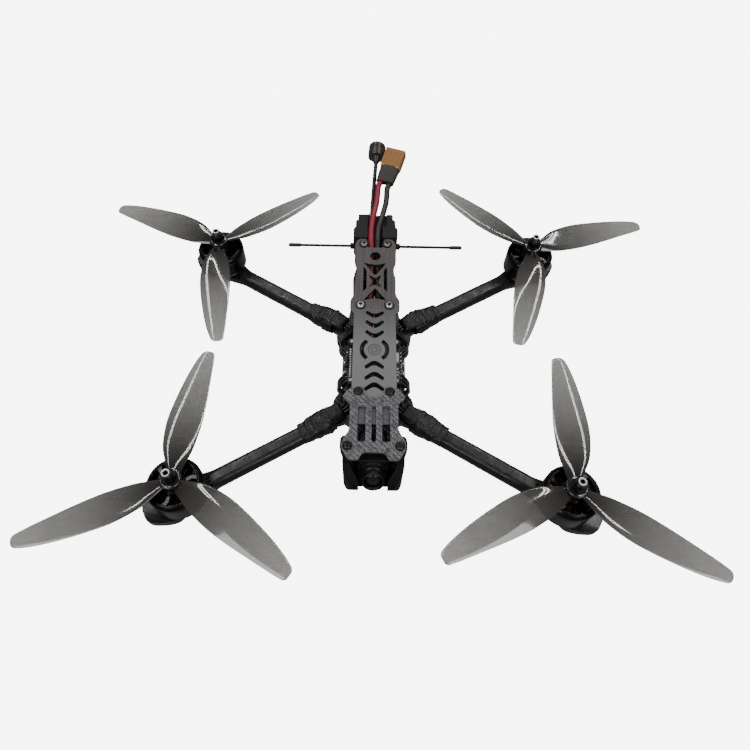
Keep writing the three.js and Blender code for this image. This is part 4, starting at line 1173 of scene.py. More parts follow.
def motor_place(x, y):
    return turned_to(x * MOTOR.x, y * MOTOR.y, 0, math.degrees(math.atan2(y, x)))


def coil(radius):
    """One turn of wire round a stator tooth, at some distance from the shaft."""
    wide, tall = 0.26 * radius - 0.35, 4.75
    loop = rounded([(-wide, -tall), (wide, -tall), (wide, tall), (-wide, tall)], 1.1, steps=3)
    return swept([(radius, p.x, STATOR_MIDDLE + p.y) for p in loop], 0.52, 8, closed=True)


def stator(corner, x, y):
    """The fixed half: mounting foot, bearing tube, laminated core and twelve wound teeth."""
    piece = Piece(f"{corner}_stator", "copper_winding", stands_for=[f"motor_stator_{corner}"],
                  place=motor_place(x, y))
    piece.add(turned([(2.9, ARM_TOP), (13.7, ARM_TOP), (14, 7.8), (14, 8.8), (13.7, 9.1), (12.1, 9.6),
                      (9.5, 9.3),
                      (8.5, 9.9), (6.4, 10.2), (6, 10.8), (6, 13.6), (5.2, 13.9), (4.6, 23.9),
                      (4.3, 24.2), (2.9, 24.2)], 64),
              LOOKS["alloy"])
    for k in range(4):
        piece.add(block((6.2, -1.3, 8.6), (13.2, 1.3, 10.0), 0.4), LOOKS["alloy"],
                  turned_to(0, 0, 0, 45 + 90 * k))
    piece.add(turned([(4.8, 13.7), (6.6, 13.7), (6.6, 23.3), (4.8, 23.3)], 48), LOOKS["lamination"])
    for k in range(TEETH):
        at = turned_to(0, 0, 0, 360 / TEETH * k)
        piece.add(block((6.3, -0.9, 14.2), (12.9, 0.9, 22.8), 0.1), LOOKS["lamination"], at)
        shoe = arc_band(14.05, 12.9, (-11.5, -6, 0, 6, 11.5))
        piece.add(plate(shoe, 13.7, 23.3, edge=0.08), LOOKS["lamination"], at)
        for turn in range(5):
            piece.add(coil(7.6 + 1.05 * turn), LOOKS["copper"], at)
    piece.finish()


def spoke(angle):
    """A spoke of the bell's top, swept a little with the turning."""
    rings = []
    for step in range(7):
        r = 6.9 + 7.0 * step / 6
        turn = math.radians(angle + 7 * math.sin(math.pi * step / 6))
        wide = 1.05 + 0.8 * (step / 6) ** 2 + 0.5 * (1 - step / 6) ** 3
        section = [(-1, 0.25), (-0.8, 1), (0.8, 1), (1, 0.25), (1, -0.7), (0.6, -1), (-0.6, -1),
                   (-1, -0.7)]
        rings.append([(r * math.cos(turn) - a * wide * math.sin(turn),
                       r * math.sin(turn) + a * wide * math.cos(turn),
                       26.75 + 1.45 * b) for a, b in section])
    return loft(rings)


def bell(corner, x, y):
    """The turning half: flux ring with magnets, spoked top, and the hollow threaded shaft."""
    piece = Piece(f"{corner}_bell", "motor_black", body=f"rotor_{corner}",
                  stands_for=[f"motor_bell_{corner}"],
                  place=motor_place(x, y))
    ring = [(14.95, 11.0), (16.4, 11.0), (16.7, 11.3), (16.7, 12.2), (16.5, 12.4), (16.5, 12.8),
            (16.75, 13.0),
            (16.75, 23.6), (16.5, 23.9), (14.95, 23.9)]
    rim = [(14.95, 23.9), (16.5, 23.9), (16.75, 24.2), (16.75, 26.2), (16.45, 26.9), (15.6, 27.6),
           (14.8, 28.2),
           (14.3, 28.45), (13.75, 28.45), (13.45, 28.15), (13.4, 27.0), (13.4, 25.2), (13.9, 24.8),
           (14.95, 24.8)]
    hub = [(2.45, 24.8), (7.2, 24.8), (7.6, 25.2), (7.65, 27.8), (7.3, 28.3), (6.6, 28.5), (2.45, 28.5)]
    piece.add(turned(ring, 96), LOOKS["flux"]).add(turned(rim, 96), LOOKS["bell"]).add(turned(hub, 64),
                                                                                       LOOKS["bell"])
    for k in range(SPOKES):
        piece.add(spoke(30 + 360 / SPOKES * k), LOOKS["bell"])
    for k in range(MAGNETS):
        magnet = plate(arc_band(14.98, 14.45, (-10.5, -3.5, 3.5, 10.5)), 12.2, 23.8, edge=0.06)
        piece.add(magnet, LOOKS["magnet"], turned_to(0, 0, 0, 360 * k / MAGNETS))
    thread, z = [], 36.9
    while z < 43.9:
        thread += [(2.5, z), (2.5, z + 0.15), (2.2, z + 0.4), (2.2, z + 0.5)]
        z += 0.7
    shaft = [(1.3, 8.5), (2.0, 8.5), (2.45, 8.9), (2.45, 36.6), *thread, (2.5, 44.4), (1.3, 44.4)]
    piece.add(turned(shaft, 40), LOOKS["black_steel"])
    piece.add(turned([(1.45, 44.3), (2.45, 44.3), (2.5, 44.6), (2.25, 45.0), (1.75, 45.0),
                      (1.45, 44.7)], 40), LOOKS["steel"])
    # A dark core filling the shaft's bore: painted shade.
    piece.add(turned([(0, 9.0), (1.35, 9.0), (1.35, 42.5), (0, 42.5)], 24), LOOKS["hollow"])
    piece.finish()


# Along a blade: [radius, lead, trail, pitch in degrees, thickness].
BLADE = [
    [4.5, 3.4, 3.4, 26, 2.6], [11, 6.6, 4.8, 25, 2.2], [20, 10.3, 7.0, 22, 1.8],
    [35, 12.4, 8.3, 17, 1.5],
    [50, 11.7, 7.9, 13.5, 1.3], [67, 9.5, 6.4, 10.5, 1.1], [80, 6.7, 5.1, 9, 1.0],
    [88.9, 3.6, 3.9, 8, 0.8]]
TIP = BLADE[-1][0]
BLADE_Z = 32.5
HUB_TOP = 36.5


def blade(spin):
    """One blade: a thin cambered section whose wide, high side leads, ending in a rounded tip."""
    rings, stations = [], []
    for a, b, c, d in zip([BLADE[0], *BLADE], BLADE, BLADE[1:], [*BLADE[2:], BLADE[-1]]):
        for step in range(7):
            t = step / 7
            stations.append([0.5 * (2 * q + (r - p) * t + (2 * p - 5 * q + 4 * r - s) * t * t
                                    + (3 * q - p - 3 * r + s) * t ** 3) for p, q, r,
                             s in zip(a, b, c, d)])
    stations = [s for s in stations if s[0] < TIP - 3.2]
    base = stations[-1]
    for reach in (2.4, 1.5, 0.8, 0.35, 0.1, 0.0):
        t = (TIP - reach - base[0]) / (TIP - base[0])
        stations.append([b + (e - b) * t for b, e in zip(base, BLADE[-1])])
    for r, lead, trail, degrees, thick in stations:
        left = max(0.0, (TIP - r) / 2.6)
        narrow = 1.0 if left >= 1 else 0.42 + 0.58 * math.sqrt(1 - (1 - left) ** 2)
        lead, trail, thick = lead * narrow, trail * narrow, thick * (0.5 + 0.5 * narrow)
        slope = math.tan(math.radians(degrees))
        shares = [0, 0.012, 0.04, 0.09, 0.16, 0.26, 0.38, 0.52, 0.66, 0.8, 0.91, 0.97, 1]
        upper, lower = [], []
        for s in shares:
            across = lead - (lead + trail) * s
            wing = 0.2969 * math.sqrt(s) - 0.126 * s - 0.3516 * s ** 2 + 0.2843 * s ** 3 - 0.1015 * s ** 4
            depth = thick * (7.5 * wing + 0.3 * math.sqrt(max(0.0, 1 - (2 * s - 1) ** 2)))
            arch = 0.13 * (1 - (across / lead) ** 2) * lead
            z = BLADE_Z + 0.62 * across * slope + arch
            upper.append((r, spin * across, z + 0.55 * depth))
            lower.append((r, spin * across, z - 0.45 * depth))
        rings.append(upper + lower[-2:0:-1])
    return loft(rings)


def propeller(corner, x, y, spin, rest):
    piece = Piece(f"{corner}_propeller", "smoke_propeller", body=f"rotor_{corner}",
                  stands_for=[f"propeller_{corner}"],
                  place=turned_to(x * MOTOR.x, y * MOTOR.y, 0))
    bottom = 28.5
    hub = [(2.7, bottom), (6.3, bottom), (6.7, bottom + 0.4), (6.7, HUB_TOP - 0.9),
           (6.4, HUB_TOP - 0.3), (5.9, HUB_TOP),
           (5.2, HUB_TOP), (5.0, HUB_TOP - 0.35), (4.9, HUB_TOP - 0.35), (4.6, HUB_TOP), (2.7, HUB_TOP)]
    piece.add(turned(hub, 64), LOOKS["smoke"])
    for k in range(3):
        piece.add(blade(spin), LOOKS["smoke"], turned_to(0, 0, 0, rest + 120 * k))
    piece.finish(50)


def prop_nut(corner, x, y):
    """A flanged lock nut with its nylon ring."""
    piece = Piece(f"{corner}_nut", "black_alloy", body=f"rotor_{corner}",
                  stands_for=[f"prop_nut_{corner}"],
                  place=turned_to(x * MOTOR.x, y * MOTOR.y, 0, 12))
    piece.add(turned([(2.6, HUB_TOP), (4.9, HUB_TOP), (5.1, HUB_TOP + 0.2), (5.0, HUB_TOP + 0.5),
                      (4.2, HUB_TOP + 0.9),
                      (2.6, HUB_TOP + 0.9)], 48), LOOKS["alloy"])
    outer = prism(4.6, HUB_TOP + 0.7, HUB_TOP + 4.2)
    crown = turned([(0, 40.5), (3.75, 40.5), (3.75, 41.0), (3.3, 41.5), (0, 41.5)], 48)
    piece.add(solid([outer, crown], [rod(2.6, (0, 0, 30), (0, 0, 50), 32)]), LOOKS["alloy"])
    piece.add(turned([(2.55, 40.2), (2.95, 40.2), (2.95, 41.3), (2.55, 41.3)], 40), LOOKS["rubber"])
    piece.finish()


# ---------------------------------------------------------------- electronics


def solder_pad(piece, x, y, z, wide, long, tall=0.5, metal="solder"):
    """A domed blob of solder on its pad."""
    piece.add(block((x - wide / 2, y - long / 2, z - 0.05), (x + wide / 2, y + long / 2, z + 0.12),
                    0.04), LOOKS[metal])
    dome = [(0, tall), (0.35, 0.92 * tall), (0.7, 0.6 * tall), (0.92, 0.2 * tall), (0.95, 0), (0, 0)]
    size = Matrix.Diagonal((wide / 2, long / 2, 1, 1))
    piece.add(turned(dome, 16), LOOKS[metal], Matrix.Translation((x, y, z + 0.1)) @ size)


def small_parts(piece, count, x_span, y_span, z):
    """A scatter of capacitors and resistors, each a body between two solder ends."""
    for _ in range(count):
        x, y = random.uniform(*x_span), random.uniform(*y_span)
        at = turned_to(x, y, z, random.choice((0, 90)))
        piece.add(block((-0.3, -0.25, 0), (0.3, 0.25, 0.45), 0.04),
                  LOOKS[random.choice(("chip", "lamination", "chip"))], at)
        for end in (-1, 1):
            piece.add(block((end * 0.42 - 0.14, -0.27, 0), (end * 0.42 + 0.14, 0.27, 0.42), 0.04),
                      LOOKS["solder"], at)


def flat_chip(piece, x, y, z, wide, long, tall, legs=0):
    """A moulded chip with a pin-one dimple and, if asked, legs along two sides."""
    piece.add(block((x - wide / 2, y - long / 2, z), (x + wide / 2, y + long / 2, z + tall), 0.12),
              LOOKS["chip"])
    piece.add(turned([(0, 0.01), (0.25, 0.01), (0.3, 0.03), (0.3, 0), (0, 0)], 16), LOOKS["rubber"],
              Matrix.Translation((x - wide / 2 + 0.7, y - long / 2 + 0.7, z + tall)))
    for side in (-1, 1):
        for k in range(legs):
            v = y + (k - (legs - 1) / 2) * (long - 1) / max(1, legs - 1)
            piece.add(block((x + side * (wide / 2 + 0.25) - 0.25, v - 0.12, z),
                            (x + side * (wide / 2 + 0.25) + 0.25,
                                                                              v + 0.12, z + 0.18),
                            0.03), LOOKS["solder"])


def socket_strip(piece, x, y, z, wide, long, tall, pins):
    """A small connector lying along Y: housing, open mouth facing out, and its pins."""
    side = math.copysign(1, x)
    shell = block((x - wide / 2, y - long / 2, z), (x + wide / 2, y + long / 2, z + tall), 0.2)
    mouth = block((x + side * (wide / 2 - 1.6), y - long / 2 + 0.5, z + 0.5),
                  (x + side * (wide / 2 + 1), y + long / 2 - 0.5, z + tall - 0.5), 0.1)
    piece.add(solid([shell], [mouth]), LOOKS["white_plastic"])
    for k in range(pins):
        v = y + (k - (pins - 1) / 2) * (long - 1.6) / max(1, pins - 1)
        piece.add(block((min(x, x + side * wide * 0.42), v - 0.15, z + 0.9),
                        (max(x, x + side * wide * 0.42), v + 0.15, z + 1.3),
                        0.04), LOOKS["gold"])


def stack_holes(radius):
    return [circle(x * STACK_PITCH / 2, STACK_Y + y * STACK_PITCH / 2, radius) for x in (-1, 1)
            for y in (-1, 1)]


def speed_controller():
    """The lower board: motor pads and power transistors down both edges, battery pads behind."""
    bottom = ESC_TOP - BOARD
    outline = oblong(21.5, STACK_Y - 19, STACK_Y + 19, 6)
    piece = Piece("esc_board", "circuit_board", stands_for=["speed_controller"])
    piece.add(plate(outline, bottom, ESC_TOP, stack_holes(2.1), 0.08), LOOKS["board"])
    for side in (-1, 1):
        for k in range(8):
            y = STACK_Y - 11.2 + 3.2 * k
            flat_chip(piece, side * 15.4, y, ESC_TOP, 3.6, 2.7, 1.1)
            piece.add(block((side * 17.7 - 0.5, y - 1.2, ESC_TOP),
                            (side * 17.7 + 0.5, y + 1.2, ESC_TOP + 0.35), 0.06), LOOKS["solder"])
        for k in range(6):
            y = STACK_Y + (k - 2.5) * 3.2 + math.copysign(2.4, k - 2.5)
            solder_pad(piece, side * 20.0, y, ESC_TOP, 2.3, 2.6, 0.8)
        small_parts(piece, 12, (side * 18.9 - 0.25, side * 18.9 + 0.25), (STACK_Y - 10, STACK_Y + 10),
                    ESC_TOP)
    for x in (-2.6, 2.4):
        solder_pad(piece, x, STACK_Y + 17.3, ESC_TOP, 4.0, 3.0, 1.3)
    for k in range(3):
        flat_chip(piece, -6 + 6 * k, STACK_Y, ESC_TOP, 4, 4, 0.9)
    small_parts(piece, 40, (-11, 11), (STACK_Y - 15, STACK_Y + 13), ESC_TOP)
    piece.finish()


def stack_mounts():
    """The four posts of the stack, with their rubber grommets and nuts."""
    mounts = Piece("stack_grommets", "black_plastic")
    for x in (-1, 1):
        for y in (-1, 1):
            at = turned_to(x * STACK_PITCH / 2, STACK_Y + y * STACK_PITCH / 2, 0, 11)
            for z in (DECK_TOP, ESC_TOP + 0.1):
                tall = (ESC_TOP if z < ESC_TOP else FLIGHT_TOP) - BOARD - z
                profile = [(1.6, 0), (2.6, 0), (2.8, 0.25 * tall), (2.2, 0.5 * tall),
                           (2.8, 0.75 * tall), (2.6, tall), (1.6, tall)]
                mounts.add(turned(profile, 32), LOOKS["rubber"], at @ Matrix.Translation((0, 0, z)))
            mounts.add(turned([(0, ARM_TOP), (1.5, ARM_TOP), (1.5, 24.6), (1.2, 25), (0, 25)], 24),
                       LOOKS["steel"], at)
            nut = solid([prism(3.15, FLIGHT_TOP + 0.4, FLIGHT_TOP + 2.8, edge=0.3)],
                        [rod(1.55, (0, 0, 10), (0, 0, 40))])
            mounts.add(nut, LOOKS["black_steel"], at)
            mounts.add(turned([(1.6, FLIGHT_TOP), (2.9, FLIGHT_TOP), (2.9, FLIGHT_TOP + 0.4),
                               (1.6, FLIGHT_TOP + 0.4)], 32),
                       LOOKS["rubber"], at)
    mounts.finish()


def flight_controller():
    """The upper board, with rows of solder pads at its sides painted near-white for their glints, and
    connectors beside them.
    """
    bottom, half = FLIGHT_TOP - BOARD, 18.0
    outline = oblong(half, STACK_Y - half, STACK_Y + half, 3)
    piece = Piece("flight_board", "circuit_board", stands_for=["flight_controller"])
    piece.add(plate(outline, bottom, FLIGHT_TOP, stack_holes(2.0), 0.08), LOOKS["board"])
    flat_chip(piece, 0, STACK_Y, FLIGHT_TOP, 7, 7, 1.0, legs=12)
    flat_chip(piece, -8, STACK_Y + 8, FLIGHT_TOP, 3, 3, 0.8)
    flat_chip(piece, 8, STACK_Y - 9, FLIGHT_TOP, 5, 4, 0.9, legs=6)
    for k in range(12):
        # These pads are painted near-white for their glints.
        solder_pad(piece, -15.9, STACK_Y - 10.8 + 1.95 * k, FLIGHT_TOP, 1.2, 1.2, 0.6, "tin")
    for k in range(4):
        solder_pad(piece, 15.9, STACK_Y - 11.4 + 2.4 * k, FLIGHT_TOP, 1.1, 1.1, 0.5, "tin")
    small_parts(piece, 46, (-12, 12), (STACK_Y - 14, STACK_Y + 14), FLIGHT_TOP)
    small_parts(piece, 10, (16.2, 17.3), (STACK_Y - 12, STACK_Y - 3), FLIGHT_TOP)
    socket_strip(piece, 14.5, STACK_Y + 3.4, FLIGHT_TOP, 4.4, 7.0, 2.9, 6)
    usb = solid([block((-19.5, STACK_Y - 4.4, FLIGHT_TOP), (-17.2, STACK_Y + 4.4, FLIGHT_TOP + 2.6),
                       0.6)],
                [block((-21, STACK_Y - 3.7, FLIGHT_TOP + 0.5), (-17.9, STACK_Y + 3.7, FLIGHT_TOP + 2.1),
                       0.5)])
    piece.add(usb, LOOKS["black_steel"])
    piece.add(block((-19.2, STACK_Y - 2.8, FLIGHT_TOP + 1.05),
                    (-17.6, STACK_Y + 2.8, FLIGHT_TOP + 1.55), 0.1), LOOKS["chip"])
    piece.finish()


def video_transmitter():
    """A transmitter board under a finned heat sink, on its own four posts."""
    centre = middle("video_transmitter")
    y, top = centre.y, high("video_transmitter").z
    piece = Piece("video_module", "black_alloy", stands_for=["video_transmitter"])
    outline = oblong(15, y - 14, y + 14, 2)
    piece.add(plate(outline, 12.5, 13.9, [], 0.08), LOOKS["board"])
    piece.add(block((-14, y - 13, 13.9), (14, y + 13, 16.4), 0.4), LOOKS["alloy"])
    for k in range(13):
        x = -12.9 + 2.15 * k
        piece.add(block((x - 0.5, y - 12.6, 16.2), (x + 0.5, y + 12.6, top), 0.15), LOOKS["alloy"])
    for x in (-1, 1):
        for side in (-1, 1):
            piece.add(turned([(1.1, DECK_TOP), (2, DECK_TOP), (2, 12.5), (1.1, 12.5)], 24),
                      LOOKS["rubber"],
                      turned_to(x * 12.5, y + side * 11.5, 0))
    for k in range(5):
        solder_pad(piece, -6 + 2 * k, y - 13.3, 13.9, 1.2, 1.0, 0.3)
    piece.finish()


def capacitor():
    """The power smoothing capacitor, lying across the deck behind the camera."""
    y, z, radius, half = -43.0, DECK_TOP + 5.2, 5.0, 7.0
    lay = Matrix.Translation((-half, y, z)) @ Matrix.Rotation(math.pi / 2, 4, "Y")
    piece = Piece("capacitor", "black_plastic")
    piece.add(turned([(0, 0.2), (4.1, 0.2), (4.6, 0), (radius, 0.4), (radius, 2.2), (4.75, 2.6),
                      (radius, 3.0),
                      (radius, 2 * half - 0.5), (4.6, 2 * half), (4.2, 2 * half - 0.1),
                      (0, 2 * half - 0.1)], 48), LOOKS["can"], lay)
    piece.add(turned([(0, 2 * half), (4.1, 2 * half), (4.1, 2 * half - 0.2), (0, 2 * half - 0.2)], 40),
              LOOKS["aluminium"], lay)
    for side, colour in ((-1, "red_wire"), (1, "dark_wire")):
        route = smooth([(-half + 0.5, y + 1.8 * side, z), (-half - 1.5, y + 1.8 * side, z),
                        (-half - 2.3, y + 4, z - 1),
                        (-half - 1.2 + side, y + 12, z - 1.5),
                        (-6 + 1.6 * side, STACK_Y - 17.5, ESC_TOP + 0.9)])
        piece.add(swept(route, 0.75, 10), LOOKS[colour])
    piece.finish()


def fine_cables():
    """Thin signal wires, tied down: camera to flight controller, and on to the video module."""
    piece = Piece("signal_wires", "black_wire")
    for k, colour in enumerate(("black_wire", "dark_wire", "black_wire")):
        x = -1.1 + 1.1 * k
        forward = smooth([(x * 0.8, -58.5, 21), (x, -55, 20), (x + 0.5, -50, 22.5),
                          (x + 0.4, -38, 24.5),
                          (x + 2, -27, 24.2), (x + 3, -21.5, 23.0), (x + 3, -19.6, 21.9)])
        piece.add(swept(forward, 0.5, 8), LOOKS[colour])
    for k, colour in enumerate(("black_wire", "white_wire", "black_wire", "black_wire")):
        x = -1.6 + 1.1 * k
        back = smooth([(x - 1, 12.5, 22.0), (x - 1, 15, 23.5), (x - 0.2, 22, 27.5),
                       (x * 0.6 + 0.2, 32, 30.5),
                       (x * 0.5 + 0.2, 42, 30.6), (x * 0.6, 48, 27.8 if x < 0 else 27.2),
                       (x * 2.2 + 2, 47.5, 18),
                       (-4 + 2 * k, 46.9, 14.3)])
        piece.add(swept(back, 0.5, 8), LOOKS[colour])
    piece.finish(60)


def receiver():
    """The small radio board on the deck below the leads, with the antenna's feed wires."""
    piece = Piece("receiver_board", "circuit_board")
    y = 78.0
    piece.add(block((-5.5, y - 7, DECK_TOP + 0.8), (5.5, y + 6, DECK_TOP + 2.0), 0.08), LOOKS["board"])
    piece.add(block((-5, y - 6, DECK_TOP), (5, y + 5, DECK_TOP + 0.9), 0.1), LOOKS["rubber"])
    flat_chip(piece, 0, y, DECK_TOP + 2.0, 4, 4, 0.8)
    flat_chip(piece, 3.2, y - 3.6, DECK_TOP + 2.0, 2.2, 1.8, 0.6)
    small_parts(piece, 12, (-4.4, 4.4), (y - 6, y + 5), DECK_TOP + 2.0)
    for side in (-1, 1):
        route = smooth([(1.2 * side, y + 5, DECK_TOP + 2.4), (1.6 * side, y + 8, DECK_TOP + 4),
                        (1.4 * side, 90, 19),
                        (1.2 * side, 94.5, 22.8)])
        piece.add(swept(route, 0.45, 8), LOOKS["black_wire"])
    piece.finish(60)


# ---------------------------------------------------------------- camera and its cheeks

CAMERA_FRAME = Matrix.Translation(TILT_AXIS) @ Matrix.Rotation(-TILT_REST, 4,
                                                               "X")  # its own -Y is the lens's way


def camera_body():
    """The camera's moulded case in two halves, with its side screws, lens seat and cable socket."""
    half = 9.3
    piece = Piece("camera_case", "black_plastic", body="camera", stands_for=["camera_body"],
                  place=CAMERA_FRAME)
    stand = Matrix.Rotation(math.pi / 2, 4, "X")  # plate height runs forward, along -Y

    def case(grow, back, front, edge):
        side = half - grow
        outline = oblong(side, -side, side, 2.2)
        return moved(plate(outline, back, front, edge=edge), stand)
    piece.add(case(0.0, -0.4, 6.5, 0.7), LOOKS["plastic"])
    piece.add(case(0.45, -0.8, -0.2, 0.1), LOOKS["rubber"])
    piece.add(case(0.0, -8.0, -0.7, 0.7), LOOKS["plastic"])
    piece.add(turned([(0, 6.0), (8.0, 6.0), (8.0, 6.9), (7.6, 7.2), (7.6, 8.6), (0, 8.6)], 64),
              LOOKS["plastic"], stand)
    for x in (-1, 1):
        for z in (-1, 1):
            at = stand @ Matrix.Translation((x * 7.4, z * 7.4, 6.45))
            piece.add(bolt_head(0.9, 0.6, 0.4), LOOKS["black_steel"], at)
    piece.add(block((-4.5, 7.8, -3.2), (4.5, 8.6, 1.0), 0.2), LOOKS["white_plastic"])
    piece.finish()
    screws = Piece("camera_screws", "black_steel", body="camera", place=CAMERA_FRAME)
    for side in (-1, 1):
        turn = Matrix.Translation((side * 9.2, 0, 0)) @ Matrix.Rotation(side * math.pi / 2, 4, "Y")
        screws.add(turned([(0, 0), (1, 0), (1, 4.4), (0, 4.4)], 24), LOOKS["black_steel"], turn)
        screws.add(bolt_head(1.9, 1.3, 0.8), LOOKS["black_steel"],
                   turn @ Matrix.Translation((0, 0, 4.0)))
    screws.finish()


def camera_lens():
    """A threaded barrel with a grip ring, and the domed front glass."""
    piece = Piece("camera_lens_unit", "lens_glass", body="camera", stands_for=["camera_lens"],
                  place=CAMERA_FRAME)
    stand = Matrix.Rotation(math.pi / 2, 4, "X")
    thread = []
    for k in range(5):
        thread += [(6.25, 8.7 + 0.42 * k), (6.0, 8.9 + 0.42 * k)]
    barrel = [(4.9, 8.7), *thread, (6.2, 10.9), (6.9, 11.2), (7.0, 11.5), (7.0, 14.4), (6.8, 14.8),
              (6.4, 15.15),
              (5.9, 15.15), (5.5, 14.9), (5.1, 13.9), (4.9, 13.5)]
    piece.add(turned(barrel, 72), LOOKS["lens"], stand)
    for k in range(36):
        piece.add(block((6.9, -0.2, 11.7), (7.08, 0.2, 14.2), 0.05), LOOKS["lens"],
                  stand @ turned_to(0, 0, 0, 10 * k))
    dome = [(0, 14.55)] + [(5.0 * math.sin(a), 12.1 + 2.45 * math.cos(a))
                           for a in (0.2, 0.45, 0.7, 0.95, 1.2, 1.45)]
    piece.add(turned([*dome, (5.0, 11.0), (0, 11.0)], 64), LOOKS["glass"], stand)
    piece.finish()


def cheek(hand, side):
    """One side of the camera's cage: horn beside the lens, lip under the plate, foot, tilt boss."""
    plan = rounded([(18.4, -64), (18.4, -80, 6), (17.7, -85.5, 6), (15.4, -90, 4), (12, -94, 1.8),
                    (10.2, -94, 1.6),
                    (8.2, -91.2, 1.2), (10.6, -87.5, 3), (13.2, -84, 4), (14.6, -78, 4),
                    (14.6, -73.5, 1), (12, -73, 1),
                    (12, -64)], 0.5, steps=8)
    wall = plate(plan, DECK_TOP, ROOF_TOP, edge=0.5)
    profile = rounded([(-63, 37.5), (-80, 37.5, 6), (-87, 35, 8), (-94, 30, 3), (-93.2, 24, 3),
                       (-89.5, 14, 6),
                       (-84, 10, 4), (-63, 10)], 0.5, steps=8)
    lip = plate(rounded([(12, -64), (19, -64, 1.5), (20.1, -67, 2.5), (20.1, -73.2, 4),
                         (16.4, -81.3, 1.6),
                         (12, -81.3, 1)], 0.5), 34.8, ROOF_TOP, edge=0.4)
    foot = plate(rounded([(8, -66), (18, -66), (18, -82, 3), (14.5, -86, 3), (5.5, -86, 1.5),
                          (5.5, -79.5, 1.5),
                          (8, -79, 1)], 0.5), DECK_TOP, 11.4, edge=0.3)
    across = Matrix(((0, 0, 1, 0), (1, 0, 0, 0), (0, 1, 0, 0), (0, 0, 0, 1)))
    mask = moved(plate(profile, 0, 40, edge=0.01), across)
    y, z = TILT_AXIS.y, TILT_AXIS.z
    boss = rod(4.2, (9.8, y, z), (16, y, z), 48, 0.3)
    pocket = rod(2.4, (13, y, z), (21, y, z), 32)
    relief = block((11, -73.5, 15), (14.6, -60, 31), 0.4)
    screw = rod(1.8, (NOSE_BOLT.x, NOSE_BOLT.y, 26), (NOSE_BOLT.x, NOSE_BOLT.y, 41), 32)
    shape = solid([solid([wall], common=[mask]), boss, lip, foot], [pocket, relief, screw])
    if side < 0:
        shape = moved(shape, Matrix.Diagonal((-1, 1, 1, 1)))
    Piece(f"cheek_{hand}", "black_plastic",
          stands_for=[f"camera_cheek_{hand}"]).add(shape, LOOKS["cheek"]).finish()


# ---------------------------------------------------------------- rear mount and antennas

RECEIVER_Y, RECEIVER_Z, RECEIVER_HALF = 99.7, 24.0, 66.0
STEM = [(-3.1, 123, 30.4), (-2.6, 134, 33.6), (-1.4, 154, 40), (-0.1, 173.2, 46.4)]


def rear_mount():
    """The stepped flexible print that holds both antennas and lets the leads out."""
    def tier(half, front, back, bottom, top, radius):
        return plate(oblong(half, front, back, radius), bottom, top, edge=0.45)
    tiers = [tier(12.8, 84.8, 97, DECK_TOP, ROOF_BOTTOM, 1.2), tier(16.5, 95.2, 107, 17, 38, 4),
             tier(15, 104, 114.5, 18, 37.2, 2), tier(13.2, 112, 121, 21, 36.4, 1.4),
             rod(2.4, (-19, RECEIVER_Y, RECEIVER_Z), (19, RECEIVER_Y, RECEIVER_Z), 32, 0.5)]
    cuts = [rod(3.0, (side * REAR_POST.x, REAR_POST.y, 0), (side * REAR_POST.x, REAR_POST.y, 60), 40)
            for side in (-1, 1)]
    cuts += [block((-5.9, 80, 26), (5.2, 97, 60), 0.6), block((-5.9, 96.5, 34.8), (5.2, 108, 60), 0.6),
             block((-5.9, 107, 35.1), (8.4, 130, 60), 0.6), block((-7, 80, 9), (7, 93, 24), 0.6),
             rod(1.3, (-30, RECEIVER_Y, RECEIVER_Z), (30, RECEIVER_Y, RECEIVER_Z), 20)]
    for z in (23.6, 29.2):
        for side in (-1, 1):
            cuts.append(block((side * 14.9 - 0.6, 106.2, z), (side * 14.9 + 0.6, 113, z + 2.2), 0.2))
    Piece("rear_print", "flexible_print", stands_for=["rear_mount"]).add(solid(tiers, cuts),
                                                                         LOOKS["print"]).finish()


def receiver_antenna():
    """A tee antenna: one thin element to each side, with a shrunk sleeve at each end."""
    piece = Piece("tee_antenna", "black_plastic", stands_for=["receiver_antenna"])
    at = (RECEIVER_Y, RECEIVER_Z)
    piece.add(rod(1.05, (-RECEIVER_HALF + 1, *at), (RECEIVER_HALF - 1, *at), 16, 0.1), LOOKS["plastic"])
    for side in (-1, 1):
        cap = [(0, 0), (1.1, 0), (1.3, 0.5), (1.45, 1.4), (1.5, 2), (1.5, 8.6), (1.4, 9.2), (1.0, 9.5),
               (0, 9.5)]
        turn = Matrix.Translation((side * (RECEIVER_HALF - 9.5),
                                   *at)) @ Matrix.Rotation(side * math.pi / 2, 4, "Y")
        piece.add(turned(cap, 24), LOOKS["rubber"], turn)
    piece.finish()


